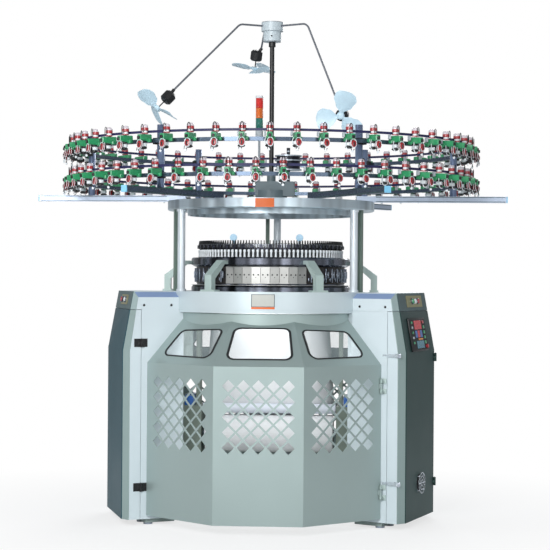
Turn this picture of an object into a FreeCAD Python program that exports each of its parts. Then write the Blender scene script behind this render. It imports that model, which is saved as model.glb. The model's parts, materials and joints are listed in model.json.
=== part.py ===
import FreeCAD
import Part

import math
import os

V = FreeCAD.Vector

# An open-width single-jersey circular knitting machine. Millimetres, +Z up, the front faces -Y.
# The origin is on the floor, on the axis of the needle cylinder. Angles are measured from the
# front and grow towards +X, so a shape drawn at the front is turned about Z to its place.

# Sizes that the rest of the machine follows
BED_TOP = 1545              # height of the bed plate's face
BED_R = 745
CYL_R = 432                 # 34 inch needle cylinder
RAIL_R = 1300               # middle of the feeder rings' rails
FEEDS = 51                  # feeders on each tier, cam boxes and yarn guides round the cylinder
LEG_ANGLES = (60, 180, 300)
ARM_ANGLES = (30, 90, 150, 210, 270, 330)
RUN = 0.06                  # radial running clearance of a shaft in its hole
REST = 0.3                  # clearance of other moving faces

# Legs and feet
PAD_R, PAD_H = 30, 12       # levelling pads on the floor
STEM_R, NUT_R = 10, 17
FOOT_IN, FOOT_OUT = BED_R, BED_R + 210
FOOT_HALF, FOOT_H = 90, 38
LEG_HALF = 40

# Bed
BED_IN_R = CYL_R + 38
BED_H = 119
BED_PLATE, BED_WALL = 33, 17

# Leg covers: sheet shells, the same outline on the right and mirrored on the left
SHEET = 4
COVER_BOTTOM = 40
COVER_TOP = BED_TOP - 3
COVER_SHOULDER = COVER_TOP - 38
COVER_SEAM = COVER_TOP - 118      # joint between the cover body and its cap
COVER_LEAN_Z = COVER_TOP - 390    # height from which the end panel leans in
COVER_LEAN = 68                   # how far it leans in at the top
COVER_IN, COVER_OUT = BED_R - 45, BED_R + 341   # along the leg's radius
COVER_SIDE = 118                  # from the leg's radius to the cover's side face
COVER_NOSE = (BED_R + 363, -44)   # end of the front chamfer, as (radius, sideways)
COVER_TAIL = (BED_R + 227, 573)
COVER_BEVEL = 50
DOOR_SEAM = BED_R + 258           # radius at which the door begins on the side face
DOOR_GAP = 1.5
BACK_OUT, BACK_CHAMFER = BED_R + 265, 26

# Gates: three flat facets below, three sloping ones with windows, a round skirt on top
GATE_BOTTOM = 65
GATE_TOP = BED_TOP - 142
GATE_SHOULDER, GATE_RIDGE, GATE_BEND = GATE_TOP - 41, GATE_TOP - 51, GATE_TOP - 329
GATE_CORNER = (288, BED_R + 285)  # plan of the middle facet's edge, as (sideways, forwards)
GATE_REACH = BED_R + 216.8        # radius along the leg at which the end facets meet its cover
SKIRT_R = BED_R - 30
RIDGE_ANGLE = 16.7
GATE_GAP = 3                      # between a gate and the cover beside it
MESH_ROWS, MESH_TOP, MESH_PITCH = 5, GATE_BEND - 123, 97.8
MESH_BAR = 12.5                   # metal left between neighbouring diamonds
WINDOW_R = 48
PANE = 3

# Knitting head, each height above the bed
CYL_WALL = 32
CYL_TOP = BED_TOP + 155
GEAR_R, GEAR_TEETH, PINION_TEETH = CYL_R + 93, 60, 10
GEAR_Z, GEAR_H = BED_TOP - 104, 32
GEAR_BACKLASH = 1.2               # degrees of play, as an angle of the big gear's tooth
PINION_ANGLE = 285
SADDLE_R, SADDLE_TOP = CYL_R + 113, BED_TOP + 40
CAM_R, CAM_DEPTH = CYL_R + 78, 56
CAM_BOTTOM, CAM_TOP = BED_TOP + 53, BED_TOP + 166
CARRIER_R, CARRIER_TOP = CYL_R + 113, CAM_TOP + 62
GUIDE_R, GUIDE_TOP = CYL_R + 65, CARRIER_TOP + 108
BRACKET_R = BED_R - 33

# Columns and crown
COLUMN_R, COLUMN_DIA = BED_R - 75, 52
POST_R, POST_SIDE, POST_TURN = BED_R - 63, 28, 6
CROWN_R, CROWN_BOTTOM = BED_R - 34, BED_TOP + 551
CROWN_TOP = CROWN_BOTTOM + 64
RIM_R, RIM_BOTTOM = CROWN_R - 151, CROWN_BOTTOM - 34
SPOKE_HALF = 55
HUB_R, HUB_TOP = 118, CROWN_TOP + 80

# Creel beams and the two feeder tiers
BEAM_SIDE, BEAM_WALL = 42, 3
BEAM_IN, BEAM_OUT = RIM_R + 30, RAIL_R + 312
TIER_POST_R, TIER_POST_DIA, TIER_POST_TOP = RAIL_R - 50, 47, CROWN_TOP + 440
RAIL_SIDE = 25
TIER_Z = (CROWN_TOP + 120, CROWN_TOP + 335)
TAPE_R, TAPE_H, TAPE_T = RAIL_R + 42, 16, 2
FEEDER_OUT = RAIL_R + 130
SPOOL_R, SPOOL_H = 19, 52
WHEEL_R, WHEEL_H = 22, 50

# Overhead fans
POLE_DIA = 32
FAN_HUB_BOTTOM, FAN_HUB_STEP, FAN_HUB_TOP = CROWN_TOP + 1104, CROWN_TOP + 1175, CROWN_TOP + 1240
FAN_HUB_R, FAN_FLANGE_R = 61, 74
TUBE_R, TUBE_Z, TUBE_ELBOW = 6.5, FAN_HUB_TOP - 29, 55
FAN_R, FAN_ROTOR_HUB_R = 170, 26
MOTOR_R, MOTOR_BACK, MOTOR_FRONT = 42, 36, 40


def turned(shape, angle):
    copy = shape.copy()
    copy.rotate(V(0, 0, 0), V(0, 0, 1), angle)
    return copy


def around(shape, angles):
    return [turned(shape, angle) for angle in angles]


def around_all(shapes, angle):
    return [turned(shape, angle) for shape in shapes]


def mirrored(shape):
    return shape.mirror(V(0, 0, 0), V(1, 0, 0))


def box(x0, x1, y0, y1, z0, z1):
    return Part.makeBox(x1 - x0, y1 - y0, z1 - z0, V(x0, y0, z0))


def disc(r, z0, z1, x=0, y=0):
    return Part.makeCylinder(r, z1 - z0, V(x, y, z0))


def ring(r_out, r_in, z0, z1):
    return disc(r_out, z0, z1).cut(disc(r_in, z0 - 1, z1 + 1))


def rod(start, end, r):
    return Part.makeCylinder(r, (end - start).Length, start, end - start)


def prism(points, z0, z1):
    corners = [V(x, y, z0) for x, y in points]
    return Part.Face(Part.makePolygon(corners + corners[:1])).extrude(V(0, 0, z1 - z0))


def regular(sides, r, x=0, y=0):
    steps = [2 * math.pi * (i + 0.5) / sides for i in range(sides)]
    return [(x + r * math.cos(a), y + r * math.sin(a)) for a in steps]


def section(points, width):
    """A radial profile, given as (radius, height), made into a bar across the front."""
    corners = [V(-width / 2, -r, z) for r, z in points]
    return Part.Face(Part.makePolygon(corners + corners[:1])).extrude(V(width, 0, 0))


def revolved(points):
    corners = [V(r, 0, z) for r, z in points]
    return Part.Face(Part.makePolygon(corners + corners[:1])).revolve(V(0, 0, 0), V(0, 0, 1), 360)


def fused(shapes):
    return shapes[0].multiFuse(shapes[1:]).removeSplitter()


def solids(shapes):
    return [solid for shape in shapes for solid in shape.Solids]


def framed(shape, origin, x_dir, z_dir):
    """A shape drawn at the origin, set down with its own X and Z along the given directions."""
    x_dir, z_dir = V(x_dir).normalize(), V(z_dir).normalize()
    y_dir = z_dir.cross(x_dir)
    matrix = FreeCAD.Matrix(x_dir.x, y_dir.x, z_dir.x, origin.x, x_dir.y, y_dir.y, z_dir.y, origin.y,
                            x_dir.z, y_dir.z, z_dir.z, origin.z, 0, 0, 0, 1)
    placed = shape.copy()
    placed.Placement = FreeCAD.Placement(matrix)
    return placed


def polar(angle, radius):
    a = math.radians(angle)
    return radius * math.sin(a), -radius * math.cos(a)


def leg_plan(radius, sideways, angle=60):
    """Plan point beside a leg: its distance along the leg's radius and sideways from it."""
    x, y = polar(angle, radius)
    sx, sy = polar(angle + 90, sideways)
    return x + sx, y + sy


def moved_edges(points, amounts):
    """An anticlockwise outline with each edge moved inwards by its own amount."""
    lines = []
    for (x0, y0), (x1, y1), amount in zip(points, points[1:] + points[:1], amounts):
        length = math.hypot(x1 - x0, y1 - y0)
        ux, uy = (x1 - x0) / length, (y1 - y0) / length
        lines.append((x0 - uy * amount, y0 + ux * amount, ux, uy))
    corners = []
    for i, (x, y, ux, uy) in enumerate(lines):
        px, py, vx, vy = lines[i - 1]
        along = ((x - px) * uy - (y - py) * ux) / (vx * uy - vy * ux)
        corners.append((px + vx * along, py + vy * along))
    return corners


# ---------------------------------------------------------------------------- frame and bed

def legs():
    """Leg castings: a flared foot, a tapering web with a pocket each side and a head under the bed."""
    foot_top = PAD_H + FOOT_H
    neck = BED_TOP - BED_PLATE
    head_out, head_in = BED_R - BED_WALL - 2, BED_R - 113
    profile = [(FOOT_IN, PAD_H), (FOOT_OUT, PAD_H), (FOOT_OUT, foot_top), (BED_R + 125, foot_top + 60),
               (BED_R + 67, foot_top + 250), (BED_R + 25, neck - 412), (head_out, neck - 132),
               (head_out, neck), (head_in, neck), (head_in, neck - 132), (BED_R - 55, neck - 512),
               (BED_R - 30, foot_top + 250), (FOOT_IN, foot_top + 30)]
    web = section(profile, 2 * LEG_HALF)
    foot = box(-FOOT_HALF, FOOT_HALF, -FOOT_OUT, -FOOT_IN, PAD_H, foot_top)
    casting = fused([web, foot])
    for side in (-1, 1):
        x = side * (FOOT_HALF - 30)
        casting = casting.cut(disc(STEM_R + 1, 0, foot_top + 1, x, -FOOT_OUT + 32))
        pocket = section([(BED_R - 10, foot_top + 370), (BED_R + 37, foot_top + 370),
                          (BED_R - 7, neck - 312), (BED_R - 30, neck - 312)], 2 * LEG_HALF)
        casting = casting.cut(pocket.translated(V(side * (LEG_HALF + 8), 0, 0)))
    return around(casting, LEG_ANGLES)


def levelling_screws():
    foot_top = PAD_H + FOOT_H
    screws = []
    for side in (-1, 1):
        x, y = side * (FOOT_HALF - 30), -FOOT_OUT + 32
        pad = disc(PAD_R, 0, PAD_H, x, y)
        stem = disc(STEM_R, PAD_H, foot_top + 26, x, y)
        nut = prism(regular(6, NUT_R, x, y), foot_top, foot_top + 14)
        screws.append(fused([pad, stem, nut]))
    return [turned(screw, angle) for angle in LEG_ANGLES for screw in screws]


def bed_plate():
    bottom = BED_TOP - BED_H
    return [revolved([(BED_IN_R, BED_TOP), (BED_R, BED_TOP), (BED_R, bottom),
                      (BED_R - BED_WALL, bottom), (BED_R - BED_WALL, BED_TOP - BED_PLATE),
                      (BED_IN_R, BED_TOP - BED_PLATE)])]


# ---------------------------------------------------------------------------- leg covers

def cover_outline():
    """Plan of the right cover, anticlockwise, from its inner front corner round to its inner rear."""
    gate_x, gate_y = GATE_CORNER
    a = math.radians(120)
    rear = []
    for y in (-gate_y - 14, 105 - BED_R):
        x = -gate_x - GATE_GAP - SHEET
        rear.append((x * math.cos(a) - y * math.sin(a), x * math.sin(a) + y * math.cos(a)))
    return [leg_plan(COVER_IN, -COVER_SIDE), leg_plan(COVER_OUT, -COVER_SIDE),
            leg_plan(*COVER_NOSE), leg_plan(*COVER_TAIL)] + rear


def lean_at(z):
    share = max(0.0, min(1.0, (z - COVER_LEAN_Z) / (COVER_TOP - COVER_LEAN_Z)))
    lean = COVER_LEAN * share
    return [0, 0.87 * lean, lean, lean, 0, 0]


def flat(*corners):
    return Part.Face(Part.makePolygon(list(corners) + [corners[0]]))


def closed_solid(faces):
    shell = Part.makeShell(faces)
    shell.sewShape()
    block = Part.makeSolid(shell)
    return block if block.Volume > 0 else block.reversed()


def stacked(outlines):
    """A solid through closed outlines, each given as its height and its plan points."""
    rings = [[V(x, y, z) for x, y in points] for z, points in outlines]
    faces = [flat(*rings[0]), flat(*rings[-1])]
    for low, high in zip(rings, rings[1:]):
        for i in range(len(low)):
            j = (i + 1) % len(low)
            faces.append(flat(low[i], low[j], high[j], high[i]))
    return closed_solid(faces)


def cover_block(inset, bottom, top):
    """The cover's full form with every face moved in by an inset; the side to the machine is open."""
    outline = cover_outline()
    levels = []
    for z in (bottom, COVER_LEAN_Z, COVER_SHOULDER, top):
        amounts = [lean + inset for lean in lean_at(z)]
        amounts[-1] = -2 * inset
        if z == top:
            amounts[0] += COVER_BEVEL
        levels.append((z, moved_edges(outline, amounts)))
    return stacked(levels)


def cover_shell():
    outer = cover_block(0, COVER_BOTTOM, COVER_TOP)
    inner = cover_block(SHEET, COVER_BOTTOM - 5, COVER_TOP - SHEET)
    return outer.cut(inner).cut(disc(BED_R + REST, COVER_SEAM - 4, COVER_TOP + 1))


def door_region(gap):
    """Plan of the space that the door takes up, its two ends moved out by a gap."""
    outline = cover_outline()
    reach, depth = 80, COVER_LEAN + 12
    outer = moved_edges(outline, [-reach] * 6)
    inner = moved_edges(outline, [depth] * 6)
    seam = DOOR_SEAM - gap
    nose, tail = leg_plan(*COVER_NOSE), leg_plan(*COVER_TAIL)
    length = math.hypot(tail[0] - nose[0], tail[1] - nose[1])
    ux, uy = (tail[0] - nose[0]) / length, (tail[1] - nose[1]) / length
    ex, ey = tail[0] + ux * (gap - 2), tail[1] + uy * (gap - 2)
    return [leg_plan(seam, -COVER_SIDE - reach), outer[1], outer[2],
            (ex + uy * reach, ey - ux * reach), (ex - uy * depth, ey + ux * depth), inner[1],
            leg_plan(seam, -COVER_SIDE + depth)]


def cover_bodies():
    """Fixed sheet body of the right cover, with a floor and a roof plate round the leg."""
    shell = cover_shell().common(box(0, 2000, -1500, 1500, 0, COVER_SEAM - REST))
    leg_space = turned(box(-FOOT_HALF - 6, FOOT_HALF + 6, -FOOT_OUT - 6, 0, 0, BED_TOP), 60)
    plates = []
    for z in (COVER_BOTTOM, COVER_SEAM - 6):
        amounts = [lean + SHEET / 2 for lean in lean_at(z + SHEET)]
        plan = moved_edges(cover_outline(), amounts[:-1] + [60])
        plate = prism(plan, z, z + SHEET).cut(leg_space)
        plates.append(plate.cut(disc(BED_R + 3, z - 1, z + 5)))
    body = fused([shell] + plates)
    return body.cut(prism(door_region(DOOR_GAP), 0, COVER_SEAM))


def cover_door():
    gap = prism(door_region(-DOOR_GAP), COVER_BOTTOM, COVER_SEAM - 3)
    return cover_shell().common(gap)


def cover_cap():
    return cover_shell().common(box(0, 2000, -1500, 1500, COVER_SEAM, COVER_TOP + 1))


def back_cover_block(inset, bottom, top):
    side, out, chamfer = COVER_SIDE - inset, BACK_OUT - inset, BACK_CHAMFER
    plan = [(-side, -COVER_IN + 2 * inset), (-side, -out + chamfer), (-side + chamfer, -out),
            (side - chamfer, -out), (side, -out + chamfer), (side, -COVER_IN + 2 * inset)]
    return prism(plan, bottom, top)


def back_cover():
    shell = back_cover_block(0, COVER_BOTTOM, COVER_TOP)
    shell = shell.cut(back_cover_block(SHEET, COVER_BOTTOM - 5, COVER_TOP - SHEET))
    shell = shell.cut(disc(BED_R + REST, COVER_SEAM - 4, COVER_TOP + 1))
    body = shell.common(box(-500, 500, -1500, 0, 0, COVER_SEAM - REST))
    cap = shell.common(box(-500, 500, -1500, 0, COVER_SEAM, COVER_TOP + 1))
    return turned(body, 180), turned(cap, 180)


# ---------------------------------------------------------------------------- things on the doors

def panel_place(along, z):
    """Origin, direction along and outward normal of the right end panel at a place on its face."""
    nose, tail = V(*leg_plan(*COVER_NOSE), 0), V(*leg_plan(*COVER_TAIL), 0)
    run = (tail - nose).normalize()
    out = V(run.y, -run.x, 0)
    share = max(0.0, (z - COVER_LEAN_Z) / (COVER_TOP - COVER_LEAN_Z))
    point = nose + run * along - out * (COVER_LEAN * share) + V(0, 0, z)
    if share > 0:
        out = V(out.x, out.y, COVER_LEAN / (COVER_TOP - COVER_LEAN_Z))
    return point, run, out


def on_panel(shape, along, z):
    point, run, out = panel_place(along, z)
    return framed(shape, point, run, out)


CONTROLLER = (390, 224, 28)  # width, height, how far it stands out
CONTROLLER_AT = (285, COVER_TOP - 278)
VENT_AT, VENT_R = (300, 275), 70
WIRE = 3.5


def controller():
    w, h, d = CONTROLLER
    face = Part.makeBox(w, h, d, V(-w / 2, -h / 2, 0))
    well = Part.makeBox(w - 60, h - 40, 3, V(-w / 2 + 16, -h / 2 + 20, d - 3))
    return on_panel(face.cut(well), *CONTROLLER_AT)


def vent_guard():
    """Finger guard: concentric wire rings joined by spokes, standing off the door."""
    rings = [ring(r, r - WIRE, 20 - WIRE, 20) for r in (VENT_R / 3, 2 * VENT_R / 3, VENT_R)]
    quarters = (0, 90, 180, 270)
    spokes = [turned(box(-WIRE / 2, WIRE / 2, 1 - VENT_R, 0, 14, 17.5), a) for a in quarters]
    feet = [turned(box(-4, 4, -VENT_R, 8 - VENT_R, 0, 17.5), a + 45) for a in quarters]
    return on_panel(fused(spokes + rings + feet), *VENT_AT)


def vent_fan():
    blades = [turned(box(-9, 9, -50, -15, -14, -11), a) for a in range(0, 360, 72)]
    return on_panel(fused([disc(17, -22, -6)] + blades), *VENT_AT)


def vent_motor():
    """Square fan frame behind the door, with the motor stub that carries the blades."""
    frame = box(-64, 64, -64, 64, -30, -SHEET).cut(disc(56, -31, 0))
    arms = [turned(box(-4, 4, -60, -10, -30, -26), a) for a in (45, 135, 225, 315)]
    stub = disc(14, -30, -22 - REST)
    return on_panel(fused([frame, stub] + arms), *VENT_AT)


LATCH_REACH, LATCH_UP, LATCH_HALF = 84, 9, 10   # pivot from the seam, its height, half the width
LATCH_BARREL, LATCH_PIN = 6, 3
LATCH_HEIGHTS = (300, COVER_LEAN_Z - 17)


def at_seam(shape, z):
    """A latch piece drawn with X along the side face, Y up it and Z out of it, set at the seam."""
    run, out = V(*polar(60, 1), 0), V(*polar(-30, 1), 0)
    return framed(shape, V(*leg_plan(DOOR_SEAM, -COVER_SIDE), z), run, out)


def latch_pivot(r, half):
    return rod(V(LATCH_REACH, -half, LATCH_UP), V(LATCH_REACH, half, LATCH_UP), r)


def toggle_latch(z):
    """Draw latch: a barrel on the pin, the pressed lever and its hook that reaches over the seam."""
    lever = box(18, LATCH_REACH, -LATCH_HALF, LATCH_HALF, LATCH_UP - 1, LATCH_UP + 4)
    tab = box(4, 22, -LATCH_HALF + 3, LATCH_HALF - 3, LATCH_UP + 1, LATCH_UP + 6)
    hook = box(-24, 40, -4, 4, LATCH_UP - 5, LATCH_UP - 0.5)
    barrel = latch_pivot(LATCH_BARREL, LATCH_HALF - REST)
    solid = fused([lever, tab, hook, barrel, box(24, 40, -4, 4, LATCH_UP - 3, LATCH_UP + 2)])
    return at_seam(solid.cut(latch_pivot(LATCH_PIN + RUN, LATCH_HALF + 1)), z)


def latch_bracket(z):
    """The latch's base plate on the door, its two ears and the pin between them."""
    ear_in, ear_out = LATCH_HALF, LATCH_HALF + 3
    pieces = [box(LATCH_REACH - 26, LATCH_REACH + 20, -ear_out, ear_out, 0, 2),
              latch_pivot(LATCH_PIN, ear_out)]
    for low, high in ((-ear_out, -ear_in), (ear_in, ear_out)):
        pieces.append(box(LATCH_REACH - 10, LATCH_REACH + 10, low, high, 0, LATCH_UP + 7))
    return at_seam(fused(pieces), z)


def latch_keeper(z):
    half = LATCH_HALF - 3
    return at_seam(box(-34, -4, -half, half, 0, 2), z)


# ---------------------------------------------------------------------------- gates

def lerp(p, q, share):
    return p + (q - p) * share


def gate_plan():
    """Facet corners from the -X end to the +X end, as plan points."""
    (cx, cy), (ex, ey) = GATE_CORNER, leg_plan(GATE_REACH, -COVER_SIDE - 8)
    return [(-ex, ey), (-cx, -cy), (cx, -cy), (ex, ey)]


def gate_head():
    """Where the facet corners meet the skirt, as (angle, height)."""
    end = math.degrees(math.asin((COVER_SIDE + GATE_GAP) / SKIRT_R))
    return [(end - 60, GATE_SHOULDER), (-RIDGE_ANGLE, GATE_RIDGE),
            (RIDGE_ANGLE, GATE_RIDGE), (60 - end, GATE_SHOULDER)]


def facet_corners(i, inset=0.0):
    """Corners of sloping facet i, moved in by an inset: low left, low right, high right, high left."""
    corners = []
    for end in (i, i + 1):
        foot, moved = gate_plan()[end], inner_plan(inset)[end]
        angle, z = gate_head()[end]
        head = V(*polar(angle, SKIRT_R), z) + V(moved[0] - foot[0], moved[1] - foot[1], 0)
        corners.append((V(*moved, GATE_BEND), head))
    return corners[0][0], corners[1][0], corners[1][1], corners[0][1]


def inner_plan(inset):
    """The gate's plan line moved in by an inset, its ends kept in line with the covers."""
    line = gate_plan()
    closed = moved_edges(line + [(0, 0)], [inset] * 3 + [0, 0])
    return closed[:4]


def on_facet(i, u, v):
    low_a, low_b, high_b, high_a = facet_corners(i)
    return lerp(lerp(low_a, low_b, u), lerp(high_a, high_b, u), v)


WINDOWS = {0: ((0.14, 0.18), (0.89, 0.165), (0.91, 0.81), (0.17, 0.74)),
           1: ((0.113, 0.155), (0.887, 0.155), (0.91, 0.845), (0.09, 0.845)),
           2: ((0.11, 0.165), (0.86, 0.18), (0.83, 0.74), (0.09, 0.81))}


def rounded_wire(corners, r):
    """A closed wire through four corners in one plane, each rounded by an arc."""
    edges, ends = [], []
    count = len(corners)
    for i, corner in enumerate(corners):
        back = (corners[i - 1] - corner).normalize()
        ahead = (corners[(i + 1) % count] - corner).normalize()
        half = back.getAngle(ahead) / 2
        cut = r / math.tan(half)
        centre = corner + (back + ahead).normalize() * (r / math.sin(half))
        middle = centre + (corner - centre).normalize() * r
        start, end = corner + back * cut, corner + ahead * cut
        edges.append(Part.Arc(start, middle, end).toShape())
        ends.append((start, end))
    lines = [Part.makeLine(ends[i][1], ends[(i + 1) % count][0]) for i in range(count)]
    return Part.Wire([edge for pair in zip(edges, lines) for edge in pair])


def window_tool(i, grow=0.0):
    """A block through facet i with the window's rounded outline, grown on every side."""
    corners = [on_facet(i, u, v) for u, v in WINDOWS[i]]
    normal = (corners[2] - corners[0]).cross(corners[3] - corners[1]).normalize()
    middle = (corners[0] + corners[1] + corners[2] + corners[3]) * 0.25
    flat = [c - normal * (c - middle).dot(normal) for c in corners]
    spread = [middle + (c - middle) * (1 + grow / 150) for c in flat]
    wire = rounded_wire(spread, WINDOW_R + grow)
    face = Part.Face(wire)
    face.translate(normal * -70)
    return face.extrude(normal * 140)


def slope(i, outer, inner):
    """Sloping facet i between two insets: flat in the middle, a little twisted at the sides."""
    a, b, c, d = facet_corners(i, outer)
    e, f, g, h = facet_corners(i, inner)
    faces = [flat(a, b, f, e), flat(a, e, h, d), flat(b, f, g, c), flat(d, c, g), flat(d, g, h)]
    for p, q, r, s in ((a, b, c, d), (e, f, g, h)):
        twist = (q - p).cross(s - p).dot(r - p)
        faces.append(flat(p, q, r, s) if abs(twist) < 1 else
                     Part.makeRuledSurface(Part.makeLine(p, q), Part.makeLine(s, r)))
    return closed_solid(faces)


def diamonds(i):
    """The rows of diamond holes of facet i, as one cutting tool."""
    line = gate_plan()
    a, b = V(*line[i], 0), V(*line[i + 1], 0)
    run = (b - a).normalize()
    out = V(run.y, -run.x, 0)
    width = (b - a).Length
    pitch = width / 6.0
    half_w = pitch / 2 - MESH_BAR / math.sqrt(2)
    half_h = MESH_PITCH / 2 - MESH_BAR / math.sqrt(2)
    tools = []
    for row in range(2 * MESH_ROWS - 1):
        odd = row % 2
        z = MESH_TOP - row * MESH_PITCH / 2
        for column in range(MESH_ROWS - odd):
            x = width / 2 + (column - (MESH_ROWS - 1 - odd) / 2) * pitch
            centre = a + run * x + V(0, 0, z) + out * 20
            corners = [centre - run * half_w, centre - V(0, 0, half_h), centre + run * half_w,
                       centre + V(0, 0, half_h)]
            face = Part.Face(Part.makePolygon(corners + corners[:1]))
            tools.append(face.extrude(out * -40))
    return Part.makeCompound(tools)


def gate_trim(facets):
    """The space a gate may fill: short of the cover beside each of its ends."""
    reach = 1600
    keep = box(-reach, reach, -reach, 0, 0, BED_TOP)
    for side in (-1, 1):
        if side == 1:
            block = turned(box(-(COVER_SIDE + GATE_GAP), reach, -reach, reach, -1, BED_TOP + 1), 60)
        else:
            block = turned(box(-reach, COVER_SIDE + GATE_GAP, -reach, reach, -1, BED_TOP + 1), -60)
        keep = keep.cut(block)
    if 0 not in facets:
        keep = keep.cut(box(-reach, -GATE_CORNER[0], -reach, reach, -1, BED_TOP + 1))
    return keep


def gate(facets, meshed):
    """One swing gate from the given facets, its diamonds cut in the meshed ones."""
    plan, inner = gate_plan(), inner_plan(SHEET)
    first, last = facets[0], facets[-1] + 1
    strip = plan[first:last + 1] + inner[first:last + 1][::-1]
    wall = prism(strip, GATE_BOTTOM, GATE_BEND)
    for i in meshed:
        wall = wall.cut(diamonds(i))
    slopes = [slope(i, 0, SHEET) for i in facets]
    skirt = ring(SKIRT_R, SKIRT_R - SHEET, GATE_RIDGE - 34, GATE_TOP)
    trim = gate_trim(facets)
    body = fused([wall] + slopes).common(trim).fuse(skirt.common(trim))
    for i in facets:
        body = body.cut(window_tool(i))
    return body


def panes(facets):
    return [slope(i, 0.5, PANE).common(window_tool(i, -0.4)) for i in facets]


def gaskets(facets):
    found = []
    for i in facets:
        sheet = slope(i, -SHEET, -0.1)
        found.append(sheet.common(window_tool(i, 5)).cut(window_tool(i, -7)))
    return found


HINGE_R = 8
PIN_R = 3
GATE_HINGE_AT = (GATE_REACH + 7.2, -COVER_SIDE - 16)   # beside the right leg, as (radius, sideways)
GATE_HINGES = ((190, 290), (GATE_BEND - 189, GATE_BEND - 89))
RIGHT_DOOR_HINGES = ((223, 279), (COVER_LEAN_Z - 78, COVER_LEAN_Z - 22))
LEFT_DOOR_HINGES = ((223, 279), (COVER_LEAN_Z + 22, COVER_LEAN_Z + 78))
LEAF = 24                    # reach of a hinge leaf from its corner


def unit(x, y):
    length = math.hypot(x, y)
    return V(x / length, y / length, 0)


def hinge(axis, fixed_root, fixed_run, moving_root, moving_run, heights):
    """Two-leaf hinges: each leaf runs from the axis onto a face, given by a point and a direction.
    The pin is pressed into the two fixed knuckles and the moving one turns on it."""
    fixed, moving = [], []
    for low, high in heights:
        third = (high - low) / 3
        knuckles = []
        for k, (root, run) in enumerate(((fixed_root, fixed_run), (moving_root, moving_run),
                                         (fixed_root, fixed_run))):
            z0, z1 = low + k * third, low + (k + 1) * third - REST
            lift = axis - root
            out = (lift - run * lift.dot(run)).normalize()
            leaf = [axis, root + run * LEAF + out * 4, root + run * LEAF, root + run * 2]
            knuckles.append(fused([disc(HINGE_R, z0, z1, axis.x, axis.y),
                                   prism([(p.x, p.y) for p in leaf], z0, z1)]))
        pin = disc(PIN_R, low, high + 3, axis.x, axis.y)
        fixed.append(fused([knuckles[0], knuckles[2], pin]))
        moving.append(knuckles[1].cut(disc(PIN_R + RUN, low, high, axis.x, axis.y)))
    return fixed, moving


def gate_hinge():
    """The gate's hinges: one leaf on the leg cover's side face, the other on the end facet."""
    axis = V(*leg_plan(*GATE_HINGE_AT), 0)
    end, corner = gate_plan()[3], gate_plan()[2]
    wall = V(*leg_plan(GATE_HINGE_AT[0] + 6, -COVER_SIDE), 0)
    return hinge(axis, wall, unit(*polar(60, 1)), V(*end, 0),
                 unit(corner[0] - end[0], corner[1] - end[1]), GATE_HINGES)


def right_door_hinge():
    """Hinges on the far edge of the right end panel."""
    outline = cover_outline()
    nose, tail, rear = outline[2], outline[3], outline[4]
    run = unit(nose[0] - tail[0], nose[1] - tail[1])
    rest = unit(rear[0] - tail[0], rear[1] - tail[1])
    root = V(*tail, 0)
    axis = root + (V(-run.y, run.x, 0) + V(rest.y, -rest.x, 0)).normalize() * (HINGE_R + 0.5)
    return hinge(axis, root, rest, root, run, RIGHT_DOOR_HINGES)


def left_door_hinge():
    """Black hinges over the seam of the side face, drawn for the right and mirrored."""
    root = V(*leg_plan(DOOR_SEAM, -COVER_SIDE), 0)
    out, run = unit(*polar(60 - 90, 1)), unit(*polar(60, 1))
    return hinge(root + out * (HINGE_R + 0.5), root, run * -1, root, run, LEFT_DOOR_HINGES)


# ---------------------------------------------------------------------------- knitting head

def toothed(sides, pitch_r, module, play, phase):
    """Plan of a spur gear with straight-flanked teeth; play narrows each tooth, in degrees."""
    step = 360.0 / sides
    points = []
    for i in range(sides):
        middle = phase + i * step
        for share, r in ((-0.33, -1.15), (-0.13, 0.95), (0.13, 0.95), (0.33, -1.15)):
            edge = share * step - math.copysign(play / 2, share)
            points.append(polar(middle + edge, pitch_r + r * module))
    return points


def gear_sizes():
    module = 2 * GEAR_R / GEAR_TEETH
    pinion_r = module * PINION_TEETH / 2
    return module, pinion_r, GEAR_R + pinion_r


def ring_gear():
    module, _, _ = gear_sizes()
    phase = PINION_ANGLE
    plan = toothed(GEAR_TEETH, GEAR_R, module, GEAR_BACKLASH * 0.5, phase)
    wheel = prism(plan, GEAR_Z, GEAR_Z + GEAR_H)
    return wheel.cut(disc(CYL_R - CYL_WALL, GEAR_Z - 1, GEAR_Z + GEAR_H + 1))


def pinion():
    """Pinion on its shaft, a tooth gap facing the big gear's tooth."""
    module, pinion_r, centre = gear_sizes()
    phase = PINION_ANGLE + 180 + 180.0 / PINION_TEETH
    plan = toothed(PINION_TEETH, pinion_r, module, GEAR_BACKLASH * 2, phase)
    x, y = polar(PINION_ANGLE, centre)
    wheel = prism([(px + x, py + y) for px, py in plan], GEAR_Z, GEAR_Z + GEAR_H)
    return fused([wheel, disc(18, GEAR_Z - 60, BED_TOP - BED_PLATE - 8, x, y)])


MOTOR_CAN_R = 76


def main_motor():
    """Flanged motor hung under the bed, with its terminal box and a pair of fins."""
    _, _, centre = gear_sizes()
    x, y = polar(PINION_ANGLE, centre)
    flange_top = BED_TOP - BED_H
    low, high = flange_top - 346, flange_top - 12
    plate = box(-96, 96, -BED_R + 4, -centre + 52, high, flange_top)
    terminals = box(MOTOR_CAN_R, MOTOR_CAN_R + 44, -centre - 40, -centre + 40, low + 100, low + 220)
    fin = box(-MOTOR_CAN_R - 4, MOTOR_CAN_R + 4, -centre - 5, -centre + 5, low + 10, high - 24)
    body = fused([disc(MOTOR_CAN_R, low, high, x, y)] + around_all((plate, terminals, fin), PINION_ANGLE))
    return body.cut(disc(18 + RUN, GEAR_Z - 61, flange_top + 1, x, y))


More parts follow.
